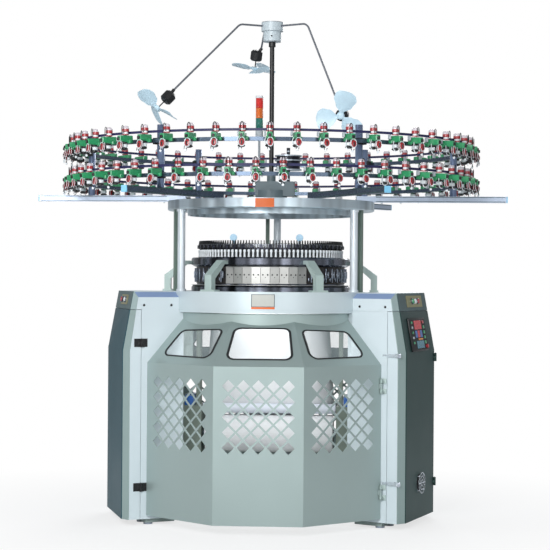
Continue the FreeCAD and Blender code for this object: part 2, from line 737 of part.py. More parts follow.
def needle_cylinder():
    """The slotted cylinder on its flange, which turns in the bore of the bed plate."""
    inner, flange = CYL_R - CYL_WALL, BED_IN_R - REST
    low, high = GEAR_Z + GEAR_H, BED_TOP - REST
    return revolved([(inner, low), (flange, low), (flange, high), (CYL_R, high), (CYL_R, CYL_TOP),
                     (CYL_R - 8, CYL_TOP + 6), (inner, CYL_TOP)])


def cam_saddle():
    return revolved([(CYL_R + 22, BED_TOP), (SADDLE_R, BED_TOP), (SADDLE_R, SADDLE_TOP - 12),
                     (SADDLE_R - 12, SADDLE_TOP), (CAM_R, SADDLE_TOP), (CAM_R - 4, CAM_BOTTOM),
                     (CYL_R + 22, CAM_BOTTOM)])


def cam_boxes():
    """Cam plates side by side round the cylinder, every outer face bevelled at its foot."""
    half = math.tan(math.pi / FEEDS)
    back = CAM_R - CAM_DEPTH
    plan = [(-back * half + 0.8, -back), (-CAM_R * half + 0.8, -CAM_R),
            (CAM_R * half - 0.8, -CAM_R), (back * half - 0.8, -back)]
    return around(prism(plan, CAM_BOTTOM, CAM_TOP), [360.0 * i / FEEDS for i in range(FEEDS)])


def carrier_ring():
    low = CAM_TOP
    return revolved([(CYL_R + 22, low), (CAM_R + 10, low), (CARRIER_R, low + 14),
                     (CARRIER_R, CARRIER_TOP - 8), (CARRIER_R - 8, CARRIER_TOP),
                     (CYL_R + 22, CARRIER_TOP)])


def yarn_guides():
    """One guide finger for each feed, from the carrier ring up past the guide rail."""
    outline = [(GUIDE_R - 26, CARRIER_TOP), (GUIDE_R - 4, CARRIER_TOP),
               (GUIDE_R - 12, GUIDE_TOP - 44), (GUIDE_R - 12, GUIDE_TOP - 20),
               (GUIDE_R - 34, GUIDE_TOP), (GUIDE_R - 30, GUIDE_TOP - 44)]
    finger = section(outline, 9)
    return around(finger, [360.0 * (i + 0.5) / FEEDS for i in range(FEEDS)])


def guide_rail():
    return ring(GUIDE_R, GUIDE_R - 11, GUIDE_TOP - 42, GUIDE_TOP - 18)


def sensor_heads():
    """Round lamps that face the front, each on a stem between two guide fingers."""
    heads = []
    for steps in (-4, 4):
        x, y = polar(steps * 360.0 / FEEDS, GUIDE_R - 30)
        stem = disc(9, CARRIER_TOP, GUIDE_TOP + 9, x, y)
        head = Part.makeCylinder(24, 16, V(x, y - 10, GUIDE_TOP + 24), V(0, 1, 0))
        heads.append(fused([stem, head]))
    return heads


def ring_brackets():
    """Bent arms that carry the carrier ring from the bed, each on its own foot plate."""
    top, low, foot_top = CARRIER_TOP - 20, CAM_TOP + 16, BED_TOP + 12
    arm = section([(BRACKET_R + 22, foot_top), (BRACKET_R + 22, foot_top + 98), (CARRIER_R + 55, top),
                   (CARRIER_R, top), (CARRIER_R, low), (CARRIER_R + 37, low),
                   (BRACKET_R - 22, foot_top + 73), (BRACKET_R - 22, foot_top)], 55)
    foot = box(-57, 57, -BRACKET_R - 30, -BRACKET_R + 30, BED_TOP, foot_top)
    return around(fused([arm, foot]), ARM_ANGLES)


# ---------------------------------------------------------------------------- fabric take-down

FRAME_X, FRAME_W, FRAME_HALF_Y = CYL_R + 30, 116, 140
CASE_BOTTOM, CASE_TOP, CASE_COVER = 400, 760, 70
ROLLER_R, ROLLER_Z, ROLLER_SHAFT_R = 34, CASE_TOP - 20, 12
ROLL_R, ROLL_Z, ROLL_BAR_R = 130, CASE_TOP - 194, 16
SHAFT_DEPTH = 38            # how far the rollers' shafts reach into the gear cases
FABRIC_T = 2


def across(y, z, half, r):
    return rod(V(-half, y, z), V(half, y, z), r)


def takedown_frame():
    """Turning frame under the cylinder: two gear cases, their hangers and the cross beams."""
    low, deep = CASE_BOTTOM - 50, FRAME_X + FRAME_W
    pieces = [box(-deep, deep, -70, 70, low, CASE_BOTTOM + 1),
              box(-FRAME_X - 4, FRAME_X + 4, -45, 45, low, CASE_BOTTOM + 4)]
    for side in (-1, 1):
        x0, x1 = sorted((side * FRAME_X, side * deep))
        a, b = sorted((side * (FRAME_X + 14), side * (FRAME_X + 42)))
        pieces += [box(x0, x1, -FRAME_HALF_Y, FRAME_HALF_Y, CASE_BOTTOM, CASE_TOP),
                   box(a, b, -60, 60, CASE_TOP, GEAR_Z)]
    frame = fused(pieces)
    for y in (-ROLLER_R - FABRIC_T, ROLLER_R + FABRIC_T):
        frame = frame.cut(across(y, ROLLER_Z, deep + 1, ROLLER_SHAFT_R + RUN))
    return frame.cut(across(0, ROLL_Z, FRAME_X + SHAFT_DEPTH + 2, ROLL_BAR_R + RUN))


def roller(y):
    barrel = across(y, ROLLER_Z, FRAME_X - 6, ROLLER_R)
    return fused([barrel, across(y, ROLLER_Z, FRAME_X + SHAFT_DEPTH, ROLLER_SHAFT_R)])


def fabric_roll():
    cloth = across(0, ROLL_Z, FRAME_X - 22, ROLL_R)
    return fused([cloth, across(0, ROLL_Z, FRAME_X + SHAFT_DEPTH, ROLL_BAR_R)])


def gear_covers():
    covers = []
    for side in (-1, 1):
        x0, x1 = sorted((side * (FRAME_X + 50), side * (FRAME_X + FRAME_W)))
        covers.append(box(x0, x1, -FRAME_HALF_Y, FRAME_HALF_Y, CASE_TOP, CASE_TOP + CASE_COVER))
    return covers


CLOTH_SIDES, CLOTH_RINGS = 40, 9
CLOTH_HALF = 7              # half thickness of the flattened tube where it meets the rollers


def fabric_tube():
    """The knitted tube: round inside the cylinder, then drawn flat, with long folds, to the rollers."""
    r = CYL_R - CYL_WALL - 14
    flat_half = FRAME_X - 16
    nip_y = ROLLER_R + FABRIC_T - CLOTH_HALF - 2 * REST
    nip = ROLLER_Z + math.sqrt(ROLLER_R ** 2 - nip_y ** 2)
    levels = [(r, r, CYL_TOP - 20)]
    for i in range(CLOTH_RINGS):
        share = i / (CLOTH_RINGS - 1)
        ease = (1 - math.cos(math.pi * share)) / 2
        levels.append((r + (flat_half - r) * ease, r + (CLOTH_HALF - r) * share ** 1.15,
                       GEAR_Z - 20 + (nip - GEAR_Z + 20) * share))
    rings = []
    for i, (a, b, z) in enumerate(levels):
        fold = 9 * math.sin(math.pi * min(1, max(0, (i - 1) / CLOTH_RINGS)))
        points = []
        for k in range(CLOTH_SIDES):
            t = 2 * math.pi * k / CLOTH_SIDES
            depth = fold * (0.5 + 0.5 * math.cos(8 * t))
            points.append(V((a - depth) * math.cos(t), (b - depth * b / r) * math.sin(t), z))
        rings.append(points)
    faces = [flat(*rings[0]), flat(*rings[-1])]
    for low, high in zip(rings, rings[1:]):
        for k in range(CLOTH_SIDES):
            j = (k + 1) % CLOTH_SIDES
            faces += [flat(low[k], low[j], high[j]), flat(low[k], high[j], high[k])]
    return closed_solid(faces)


# ---------------------------------------------------------------------------- columns and crown

def columns():
    shaft = disc(COLUMN_DIA / 2, BED_TOP, CROWN_BOTTOM, 0, -COLUMN_R)
    collars = [disc(COLUMN_DIA / 2 + 7, BED_TOP, BED_TOP + 14, 0, -COLUMN_R),
               disc(COLUMN_DIA / 2 + 7, CROWN_BOTTOM - 16, CROWN_BOTTOM, 0, -COLUMN_R)]
    return around(fused([shaft] + collars), LEG_ANGLES)


def cable_posts():
    half = POST_SIDE / 2
    post = box(-half, half, -POST_R - half, -POST_R + half, BED_TOP, CROWN_BOTTOM)
    return [turned(post, LEG_ANGLES[0] + POST_TURN), turned(post, LEG_ANGLES[1] + POST_TURN),
            turned(post, LEG_ANGLES[2] - POST_TURN)]


def crown_ring():
    band = revolved([(RIM_R, RIM_BOTTOM), (RIM_R + 14, RIM_BOTTOM), (RIM_R + 14, CROWN_BOTTOM),
                     (CROWN_R - 6, CROWN_BOTTOM), (CROWN_R, CROWN_BOTTOM + 6),
                     (CROWN_R, CROWN_TOP), (RIM_R, CROWN_TOP)])
    spoke = box(-SPOKE_HALF, SPOKE_HALF, -RIM_R - 8, -HUB_R + 10, CROWN_BOTTOM, CROWN_TOP)
    hub = disc(HUB_R, CROWN_BOTTOM - 10, CROWN_TOP)
    return fused([band, hub] + around(spoke, LEG_ANGLES))


def crown_hub():
    """Gear case on the crown, with the sockets of the pole and of the pulley shaft."""
    drum = disc(HUB_R - 8, CROWN_TOP, HUB_TOP)
    case = box(-105, 160, -70, 70, HUB_TOP - 40, HUB_TOP + 60)
    socket = disc(30, HUB_TOP, HUB_TOP + 118)
    body = fused([drum, case, socket])
    body = body.cut(disc(POLE_DIA / 2, HUB_TOP - 20, HUB_TOP + 140))
    return body.cut(disc(12 + RUN, HUB_TOP + 10, HUB_TOP + 61, PULLEY_X, 0))


PULLEY_X, PULLEY_R, PULLEY_Z = 117, 93, HUB_TOP + 138


def pulley_stack():
    """The feeder tape pulleys: two toothed discs with flanges on one upright shaft."""
    profile = [(0, HUB_TOP + 12), (12, HUB_TOP + 12), (12, PULLEY_Z), (PULLEY_R, PULLEY_Z)]
    z = PULLEY_Z
    for _ in range(3):
        profile += [(PULLEY_R, z + 8), (PULLEY_R - 12, z + 8), (PULLEY_R - 12, z + 32),
                    (PULLEY_R, z + 32)]
        z += 32
    profile += [(PULLEY_R, z + 8), (12, z + 8), (12, z + 60), (0, z + 60)]
    return revolved(profile).translated(V(PULLEY_X, 0, 0))


def radial_beams():
    z0, z1, half = CROWN_TOP, CROWN_TOP + BEAM_SIDE, BEAM_SIDE / 2
    tube = box(-half, half, -BEAM_OUT, -BEAM_IN, z0, z1)
    bore = box(-half + BEAM_WALL, half - BEAM_WALL, -BEAM_OUT - 1, -BEAM_IN + 1,
               z0 + BEAM_WALL, z1 - BEAM_WALL)
    return around(tube.cut(bore), ARM_ANGLES)


def beam_caps():
    half = BEAM_SIDE / 2
    cap = box(-half, half, -BEAM_OUT - 8, -BEAM_OUT, CROWN_TOP, CROWN_TOP + BEAM_SIDE)
    return around(cap, ARM_ANGLES)


# ---------------------------------------------------------------------------- feeder tiers

def tier_posts():
    z0 = CROWN_TOP + BEAM_SIDE
    post = disc(TIER_POST_DIA / 2, z0, TIER_POST_TOP, 0, -TIER_POST_R)
    return around(post, ARM_ANGLES)


def rail_clamps():
    inner = RAIL_R - RAIL_SIDE / 2
    clamps = []
    for z in TIER_Z:
        block = box(-34, 34, -inner - 1, -TIER_POST_R + 10, z - 20, z + 20)
        block = block.cut(disc(TIER_POST_DIA / 2 + REST, z - 21, z + 21, 0, -TIER_POST_R))
        seat = tier_rail(z, REST)
        clamps += [clamp.cut(seat) for clamp in around(block, ARM_ANGLES)]
    return clamps


def tier_phase(tier):
    return 180.0 * tier / FEEDS


def tier_rail(z, grow=0):
    """A square rail rolled with a short flat for every feeder of either tier to seat on."""
    half, step = RAIL_SIDE / 2 + grow, 180.0 / FEEDS
    plans = []
    for r in (RAIL_R + half, RAIL_R - half):
        corner = r / math.cos(math.radians(step / 2))
        plans.append([polar((i + 0.5) * step, corner) for i in range(2 * FEEDS)])
    return prism(plans[0], z - half, z + half).cut(prism(plans[1], z - half - 1, z + half + 1))


def feeder_rails():
    return [tier_rail(z) for z in TIER_Z]


def tape_ring(z, phase):
    """A drive tape: straight from spool to spool, so its plan has one corner at each feeder."""
    corners = [polar(phase + 360.0 * i / FEEDS, TAPE_R) for i in range(FEEDS)]
    inner = [polar(phase + 360.0 * i / FEEDS, TAPE_R - TAPE_T) for i in range(FEEDS)]
    return prism(corners, z, z + TAPE_H).cut(prism(inner, z - 1, z + TAPE_H + 1))


def feeder_angles(tier):
    return [tier_phase(tier) + 360.0 * i / FEEDS for i in range(FEEDS)]


SPINDLE_R = TAPE_R + SPOOL_R + 0.2
BODY_DROP, BODY_H = 5, 46


def feeder_bodies():
    """The feeders' moulded bodies, clamped to the outside of the rail and narrower at the nose."""
    bodies = []
    root = RAIL_R + RAIL_SIDE / 2
    plan = [(-14, -root), (-20, -SPINDLE_R), (-13, -FEEDER_OUT), (13, -FEEDER_OUT),
            (20, -SPINDLE_R), (14, -root)]
    for tier, z in enumerate(TIER_Z):
        body = prism(plan, z - BODY_DROP, z - BODY_DROP + BODY_H)
        bodies += around(body, feeder_angles(tier))
    return bodies


def feeder_spools():
    spools = []
    for tier, z in enumerate(TIER_Z):
        low = z - BODY_DROP + BODY_H
        spool = prism(regular(6, SPOOL_R, 0, -SPINDLE_R), low, low + SPOOL_H)
        spools += around(spool, feeder_angles(tier))
    return spools


def feeder_wheels():
    wheels = []
    for tier, z in enumerate(TIER_Z):
        high = z - BODY_DROP
        wheel = prism(regular(6, WHEEL_R, 0, -SPINDLE_R - 10), high - WHEEL_H, high)
        wheels += around(wheel, feeder_angles(tier))
    return wheels


# ---------------------------------------------------------------------------- fans and signal

# Each fan: the direction of its tube, the reach of its elbow and of its end with that end's drop
# below the head, and the middles of its motor and rotor as (x, y, drop)
FANS = {"right": (60, 285, 535, 549, (497, -330, 638), (487, -408, 652)),
        "left": (300, 245, 737, 479, (-668, -386, 525), (-738, -426, 606)),
        "back": (197, 245, 345, 112, (-134, 330, 156), (-147, 352, 247))}


def fan_points(side):
    """The end of a fan's tube, the middle of its motor and the middle of its rotor."""
    angle, _, reach, drop, motor, rotor_at = FANS[side]
    return [V(x, y, TUBE_Z - down) for x, y, down in ((*polar(angle, reach), drop), motor, rotor_at)]


def fan_pole():
    pole = disc(POLE_DIA / 2, HUB_TOP - 20, FAN_HUB_BOTTOM + 60)
    collar = disc(POLE_DIA / 2 + 8, FAN_HUB_BOTTOM - 34, FAN_HUB_BOTTOM - REST)
    return fused([pole, collar])


def fan_hub():
    """Turning head of the fans: a stepped cap and three bent tubes held in its rim."""
    body = fused([disc(FAN_HUB_R, FAN_HUB_BOTTOM, FAN_HUB_STEP),
                  disc(FAN_FLANGE_R, FAN_HUB_STEP, FAN_HUB_TOP)])
    body = body.cut(disc(POLE_DIA / 2 + RUN, FAN_HUB_BOTTOM - 1, FAN_HUB_BOTTOM + 60 + REST))
    return fused([body] + [fan_tube(side) for side in FANS])


def fan_tube(side):
    """The bent tube of one fan, from inside the hub's flange to the fan's motor."""
    angle, elbow = FANS[side][:2]
    start, corner = (V(*polar(angle, radius), TUBE_Z) for radius in (FAN_FLANGE_R - 20, elbow))
    return bent_tube(start, corner, fan_points(side)[0], TUBE_ELBOW)


def bent_tube(a, b, c, bend_r):
    """A round tube from a to c with one tangent bend at b."""
    back, ahead = (a - b).normalize(), (c - b).normalize()
    half = back.getAngle(ahead) / 2
    cut = bend_r / math.tan(half)
    centre = b + (back + ahead).normalize() * (bend_r / math.sin(half))
    middle = centre + (b - centre).normalize() * bend_r
    start, end = b + back * cut, b + ahead * cut
    path = Part.Wire([Part.makeLine(a, start), Part.Arc(start, middle, end).toShape(),
                      Part.makeLine(end, c)])
    circle = Part.Wire(Part.Circle(a, b - a, TUBE_R).toShape())
    return path.makePipeShell([circle], True, False)


def fan_motors():
    """Drum motors with chamfered ends, each with its shaft and the lug that holds the tube's end."""
    motors = []
    for side in FANS:
        end, motor, hub = fan_points(side)
        axis = (hub - motor).normalize()
        can = framed(revolved([(0, -MOTOR_BACK), (MOTOR_R - 14, -MOTOR_BACK),
                               (MOTOR_R, 14 - MOTOR_BACK), (MOTOR_R, MOTOR_FRONT - 10),
                               (MOTOR_R - 10, MOTOR_FRONT), (0, MOTOR_FRONT)]),
                     motor, V(0, 0, 1).cross(axis), axis)
        shaft = rod(motor + axis * 30, hub + axis * 6, SHAFT_R)
        lug = rod(end + (end - motor).normalize() * 8, motor, 11)
        motors.append(fused([can, lug, shaft]).cut(fan_tube(side)))
    return motors


SHAFT_R = 4
BLADE = ((-14, 0.13), (-70, 0.38), (-86, 0.66), (-62, 0.92), (-6, 1.0), (44, 0.93), (60, 0.62),
         (18, 0.13))        # outline as (across in mm, share of the rotor's radius)


def rotor(side):
    """Three-bladed rotor: broad blades set at a pitch round a small hub."""
    corners = [V(x, -share * FAN_R, -1.2) for x, share in BLADE]
    blade = Part.Face(Part.makePolygon(corners + corners[:1])).extrude(V(0, 0, 2.4))
    blade.rotate(V(0, 0, 0), V(0, 1, 0), 22)
    hub = disc(FAN_ROTOR_HUB_R, -12, 12)
    wheel = fused([hub] + around(blade, (0, 120, 240))).cut(disc(SHAFT_R + RUN, -40, 40))
    _, motor, place = fan_points(side)
    axis = place - motor
    return framed(wheel, place, V(0, 0, 1).cross(axis), axis)


TOWER_X, TOWER_Y, TOWER_R = -88, 40, 26.5
TOWER_Z = [HUB_TOP + rise for rise in (367, 425, 501, 571, 641, 657)]


def tower_base():
    pole = disc(8, HUB_TOP + 60, TOWER_Z[0], TOWER_X, TOWER_Y)
    base = disc(TOWER_R, TOWER_Z[0], TOWER_Z[1], TOWER_X, TOWER_Y)
    return fused([pole, base])


def tower_lenses():
    return [disc(TOWER_R - 1, z0 + 0.5, z1, TOWER_X, TOWER_Y)
            for z0, z1 in zip(TOWER_Z[1:4], TOWER_Z[2:5])]


def tower_cap():
    return disc(TOWER_R, TOWER_Z[4], TOWER_Z[5], TOWER_X, TOWER_Y)


# ---------------------------------------------------------------------------- buttons and plates

PLATE_RIGHT = (336, COVER_TOP - 56, 340, 78)   # place along the panel, height, width and depth
PLATE_LEFT = (270, COVER_TOP - 56, 250, 66)
PLATE_T = 3
BUTTON_R, BUTTON_H, BUTTON_TRAVEL = 17, 13, 4


def button_plate(along, z, width, height):
    plate = box(-width / 2, width / 2, -height / 2, height / 2, 0, PLATE_T)
    return on_panel(plate, along, z)


def button(spot, offset):
    along, z = spot[0] + offset, spot[1]
    low = PLATE_T + BUTTON_TRAVEL + REST
    return on_panel(disc(BUTTON_R, low, low + BUTTON_H), along, z)


def button_collar(spot, offset):
    along, z = spot[0] + offset, spot[1]
    collar = ring(BUTTON_R + 5, BUTTON_R + REST, PLATE_T, PLATE_T + BUTTON_H - 2)
    return on_panel(collar, along, z)


# ---------------------------------------------------------------------------- writing the parts

def save(name, shapes):
    shapes = shapes if isinstance(shapes, list) else [shapes]
    shape = Part.makeCompound(solids(shapes)) if len(solids(shapes)) > 1 else solids(shapes)[0]
    shape.exportStep(os.path.join("parts", name + ".step"))
    print("%-18s %4d solids %12.0f mm3 valid %s" % (name, len(shape.Solids), shape.Volume,
                                                    shape.isValid()))


def main():
    os.makedirs("parts", exist_ok=True)
    save("legs", legs())
    save("levelling_screws", levelling_screws())
    save("bed_plate", bed_plate())

    body, door, cap = cover_bodies(), cover_door(), cover_cap()
    back_body, back_cap = back_cover()
    save("cover_right", [body] + [latch_keeper(z) for z in LATCH_HEIGHTS])
    save("cover_left", mirrored(body))
    save("cover_back", back_body)
    save("leg_caps", [cap, mirrored(cap), back_cap])
    right_fixed, right_moving = right_door_hinge()
    left_fixed, left_moving = left_door_hinge()
    save("door_right", [door] + right_moving + [latch_bracket(z) for z in LATCH_HEIGHTS])
    save("door_left", [mirrored(shape) for shape in [door] + left_moving])
    save("controller", controller())
    save("vent_guard", [vent_guard(), vent_motor()])
    save("vent_fan", vent_fan())
    for name, z in zip(("latch_lower", "latch_upper"), LATCH_HEIGHTS):
        save(name, toggle_latch(z))

    fixed, moving = gate_hinge()
    front = gate((0, 1, 2), (0, 1, 2))
    rear = gate((1, 2), (1, 2))
    rear_right = [turned(shape, 120) for shape in [rear] + moving]
    save("gate_front", [front] + moving)
    save("gate_right", rear_right)
    save("gate_left", [mirrored(shape) for shape in rear_right])
    glass, seals = panes((0, 1, 2)), gaskets((0, 1, 2))
    windows = around_all(glass[1:] + seals[1:], 120)
    save("windows_front", glass + seals)
    save("windows_right", windows)
    save("windows_left", [mirrored(window) for window in windows])
    hinges = fixed + around_all(fixed, 120) + [mirrored(s) for s in around_all(fixed, 120)]
    save("hinges", hinges + right_fixed + [mirrored(s) for s in left_fixed])

    save("needle_cylinder", needle_cylinder())
    save("ring_gear", ring_gear())
    save("pinion", pinion())
    save("main_motor", main_motor())
    save("cam_saddle", cam_saddle())
    save("cam_boxes", cam_boxes())
    save("carrier_ring", carrier_ring())
    save("yarn_guides", yarn_guides() + [guide_rail()])
    save("sensor_heads", sensor_heads())
    save("ring_brackets", ring_brackets())

    save("takedown_frame", [takedown_frame()] + gear_covers())
    save("draw_roller", roller(-ROLLER_R - FABRIC_T))
    save("nip_roller", roller(ROLLER_R + FABRIC_T))
    save("fabric_roll", fabric_roll())
    save("fabric_tube", fabric_tube())

    save("columns", columns())
    save("cable_posts", cable_posts())
    save("crown_ring", crown_ring())
    save("crown_hub", crown_hub())
    save("pulley_stack", pulley_stack())
    save("radial_beams", radial_beams())
    save("beam_caps", beam_caps())
    save("tier_posts", tier_posts() + rail_clamps())
    save("feeder_rails", feeder_rails())
    tapes = [tape_ring(z - BODY_DROP + BODY_H + 6, tier_phase(tier)) for tier, z in enumerate(TIER_Z)]
    save("drive_tapes", tapes)
    save("feeder_bodies", feeder_bodies())
    save("feeder_wheels", feeder_spools() + feeder_wheels())

    save("fan_pole", fan_pole())
    save("fan_hub", fan_hub())
    save("fan_motors", fan_motors())
    for side in FANS:
        save("rotor_" + side, rotor(side))
    save("tower_base", [tower_base(), tower_cap()])
    save("tower_lenses", tower_lenses())

    plates = [button_plate(*PLATE_RIGHT), mirrored(button_plate(*PLATE_LEFT))]
    collars = [button_collar(PLATE_RIGHT, o) for o in (-60, 60)]
    collars += [mirrored(button_collar(PLATE_LEFT, o)) for o in (-60, 60)]
    save("button_plates", plates + collars)
    save("button_start", button(PLATE_RIGHT, -60))
    save("button_stop", button(PLATE_RIGHT, 60))
    save("button_stop_left", mirrored(button(PLATE_LEFT, 60)))


main()
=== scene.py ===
# %% [markdown]
# # A circular knitting machine
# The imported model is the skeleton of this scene: every casting, ring and sheet panel is already in
# its place, in metres. Blender adds what a solid model leaves plain: paint, ground steel, knitted
# cloth and the small fittings round the feeder rings.

# %% Load the frame
import bpy
import json
import math
from mathutils import Matrix, Vector


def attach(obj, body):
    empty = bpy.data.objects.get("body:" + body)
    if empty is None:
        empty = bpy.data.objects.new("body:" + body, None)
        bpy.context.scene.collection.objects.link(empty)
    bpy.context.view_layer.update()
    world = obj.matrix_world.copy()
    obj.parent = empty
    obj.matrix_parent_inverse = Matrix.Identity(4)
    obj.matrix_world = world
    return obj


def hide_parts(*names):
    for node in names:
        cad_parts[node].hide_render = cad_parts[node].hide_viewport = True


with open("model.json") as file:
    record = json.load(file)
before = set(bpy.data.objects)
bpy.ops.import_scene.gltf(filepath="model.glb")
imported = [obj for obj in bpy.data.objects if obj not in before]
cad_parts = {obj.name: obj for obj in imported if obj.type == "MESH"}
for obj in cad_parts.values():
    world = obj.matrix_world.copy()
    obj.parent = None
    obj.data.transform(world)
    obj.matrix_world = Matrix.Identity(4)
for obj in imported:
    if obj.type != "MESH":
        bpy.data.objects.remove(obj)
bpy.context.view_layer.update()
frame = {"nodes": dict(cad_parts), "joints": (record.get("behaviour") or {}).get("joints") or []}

nodes = frame["nodes"]
bpy.ops.object.select_all(action="DESELECT")


def shown(name, data):
    """An object that holds this data, linked to the scene."""
    thing = bpy.data.objects.new(name, data)
    bpy.context.scene.collection.objects.link(thing)
    return thing


# %% [markdown]
# ## Camera
# The machine was photographed from eye height, about twelve metres off, a little to its right.
# The camera looks level, so the columns stay parallel; tilting it up would draw them together. A
# small shift of the lens and a slight roll place the machine's axis where it is in the picture.

# %% Camera
EYE_AWAY, EYE_HEIGHT = 12.2, 1.64
EYE_TURN, EYE_ROLL = math.radians(4), math.radians(0.4)
eye = bpy.data.cameras.new("front_camera")
eye.sensor_width, eye.lens = 36, 115.73
eye.shift_x, eye.shift_y = 0.008, 0.0045
camera = shown("front_camera", eye)
stand = (math.sin(EYE_TURN) * EYE_AWAY, -math.cos(EYE_TURN) * EYE_AWAY, EYE_HEIGHT)
camera.matrix_world = (Matrix.Translation(stand) @ Matrix.Rotation(EYE_TURN, 4, "Z")
                       @ Matrix.Rotation(math.pi / 2, 4, "X") @ Matrix.Rotation(EYE_ROLL, 4, "Z"))
bpy.context.scene.camera = camera
bpy.context.scene.view_settings.view_transform = "Standard"
print("camera at", [round(v, 2) for v in stand])

# %% [markdown]
# ## Shader nodes
# The world, the floor and every finish are made of shader nodes. Adding them by hand takes several
# lines a node, so one helper adds a node, sets its options and then sets or links its sockets.

# %% Node helpers
WHITE = (1, 1, 1, 1)


def linear(red, green, blue):
    """A colour given as 0-255 screen values, as the linear colour that a shader takes."""
    return [((v / 255 + 0.055) / 1.055) ** 2.4 if v > 10 else v / 255 / 12.92
            for v in (red, green, blue)] + [1.0]


def added(tree, kind, sockets=None, **options):
    """Adds a node; a socket in the list is linked to another socket or set to a value."""
    node = tree.nodes.new("ShaderNode" + kind)
    for label, value in options.items():
        setattr(node, label, value)
    for label, value in (sockets or {}).items():
        if isinstance(value, bpy.types.NodeSocket):
            tree.links.new(value, node.inputs[label])
        else:
            node.inputs[label].default_value = value
    return node


def maths(operation, *values):
    """A sum on numbers and sockets, in the node tree that the sockets belong to."""
    tree = next(value.id_data for value in values if isinstance(value, bpy.types.NodeSocket))
    return added(tree, "Math", dict(enumerate(values)), operation=operation).outputs[0]


def times(first, second):
    return maths("MULTIPLY", first, second)


def spread(source, low, high, start=0.0, end=1.0):
    """Maps a value's range from start to end onto low to high."""
    sockets = {"Value": source, "From Min": start, "From Max": end, "To Min": low, "To Max": high}
    return added(source.id_data, "MapRange", sockets).outputs["Result"]


def here(tree):
    """The place on the piece, in the piece's own coordinates."""
    return added(tree, "TexCoord").outputs["Object"]


def blank(name, colour):
    """A new material, its node tree and its Principled shader."""
    material = bpy.data.materials.new(name)
    material.use_nodes = True
    material.diffuse_color = colour
    return material, material.node_tree, material.node_tree.nodes["Principled BSDF"]


# %% [markdown]
# ## World, lamps and floor
# A dim white tent lights every side, and a large lamp in front, above the camera's line, gives the
# panels their direction without mirroring itself in the gate. Two small lamps inside the machine
# lift the cloth, as daylight through the gates does. What the camera sees past the floor is plain
# white, and so is what shows through the panes; the light on the machine doesn't change for it.

# %% World
world = bpy.data.worlds.new("white_tent")
bpy.context.scene.world = world
world.use_nodes = True
sky = world.node_tree
tent = sky.nodes["Background"]
tent.inputs["Color"].default_value = (0.93, 0.97, 1.0, 1)
tent.inputs["Strength"].default_value = 0.46
ray = added(sky, "LightPath").outputs
seen = maths("MAXIMUM", ray["Is Transmission Ray"], ray["Is Camera Ray"])
backdrop = added(sky, "Background", {"Color": WHITE})
mixed = added(sky, "MixShader", {0: seen, 1: tent.outputs[0], 2: backdrop.outputs[0]})
sky.links.new(mixed.outputs[0], sky.nodes["World Output"].inputs["Surface"])


# %% Lamps
def lamp(name, place, aim, size, power):
    """A square lamp that the camera doesn't see, turned towards its aim."""
    light = bpy.data.lights.new(name, "AREA")
    light.shape, light.size, light.energy = "SQUARE", size, power
    lit = shown(name, light)
    lit.location = place
    lit.visible_camera = False
    lit.rotation_mode = "QUATERNION"
    lit.rotation_quaternion = (Vector(aim) - Vector(place)).to_track_quat("-Z", "Y")


lamp("front", (-2.0, -8.2, 4.1), (0, 0, 1.5), 3.2, 450)
lamp("front_right", (3.6, -8.0, 3.0), (0, 0, 1.4), 2.5, 70)
lamp("front_left", (-6.0, -3.0, 3.5), (0, 0, 1.4), 2.5, 30)
lamp("behind", (1.0, 6.5, 5.0), (0, 0, 2.0), 3.0, 240)
lamp("inside", (0.0, -0.66, 1.30), (0, 0, 0.90), 0.35, 5)
lamp("inside_low", (0.0, -0.80, 0.40), (0, 0, 0.70), 0.35, 1)
print(len(bpy.data.lights), "lamps")

# %% Floor
bpy.ops.mesh.primitive_plane_add(size=90)
floor = bpy.context.active_object
floor.name = "floor"
PAPER = (0.86, 0.87, 0.88, 1)
FADE_FROM, FADE_TO = 1.4, 3.4       # the floor turns white between these distances
paper, tree, shader = blank("floor_paper", PAPER)
shader.inputs["Base Color"].default_value = PAPER
shader.inputs["Roughness"].default_value = 0.9
away = added(tree, "VectorMath", {0: here(tree)}, operation="LENGTH").outputs["Value"]
share = times(added(tree, "LightPath").outputs["Is Camera Ray"],
              spread(away, 0.70, 1.0, FADE_FROM, FADE_TO))
glow = added(tree, "Emission", {"Color": WHITE})
blend = added(tree, "MixShader", {0: share, 1: shader.outputs[0], 2: glow.outputs[0]})
tree.links.new(blend.outputs[0], tree.nodes["Material Output"].inputs["Surface"])
floor.data.materials.append(paper)

# %% [markdown]
# ## Surface effects that several finishes share
# Paint, steel, cloth and plastic differ in what varies over them. Each effect is a node group:
# it is built once, reads the piece's own coordinates, and puts out a colour, a roughness and a
# height that a material plugs into its shader.

# %% Effect helpers
SURFACE, TINT = ("Color", "Roughness", "Height"), ("Color",)


def socket_kind(value):
    return "NodeSocket" + ("Float" if isinstance(value, float) else
                           "Color" if len(value) == 4 else "Vector")


def effect(name, outputs=SURFACE, **extra):
    """An empty shader group: its tree, the sockets given to it and the sockets it gives out."""
    group = bpy.data.node_groups.new(name, "ShaderNodeTree")
    inputs = {"Color": WHITE, "Roughness": 0.4} if outputs == SURFACE else {}
    for word, value in {**inputs, **extra}.items():
        socket = group.interface.new_socket(word.replace("_", " "), in_out="INPUT",
                                            socket_type=socket_kind(value))
        socket.default_value = value
    for label in outputs:
        group.interface.new_socket(label, in_out="OUTPUT", socket_type=socket_kind(
            WHITE if label == "Color" else 0.0))
    print("effect", name, *extra)
    return (group, group.nodes.new("NodeGroupInput").outputs,
            group.nodes.new("NodeGroupOutput").inputs)


def noise(vector, scale, detail=3.0):
    sockets = {"Vector": vector, "Scale": scale, "Detail": detail}
    return added(vector.id_data, "TexNoise", sockets).outputs["Fac"]


def axes_of(vector):
    """The X, Y and Z of a vector."""
    return added(vector.id_data, "SeparateXYZ", {0: vector}).outputs


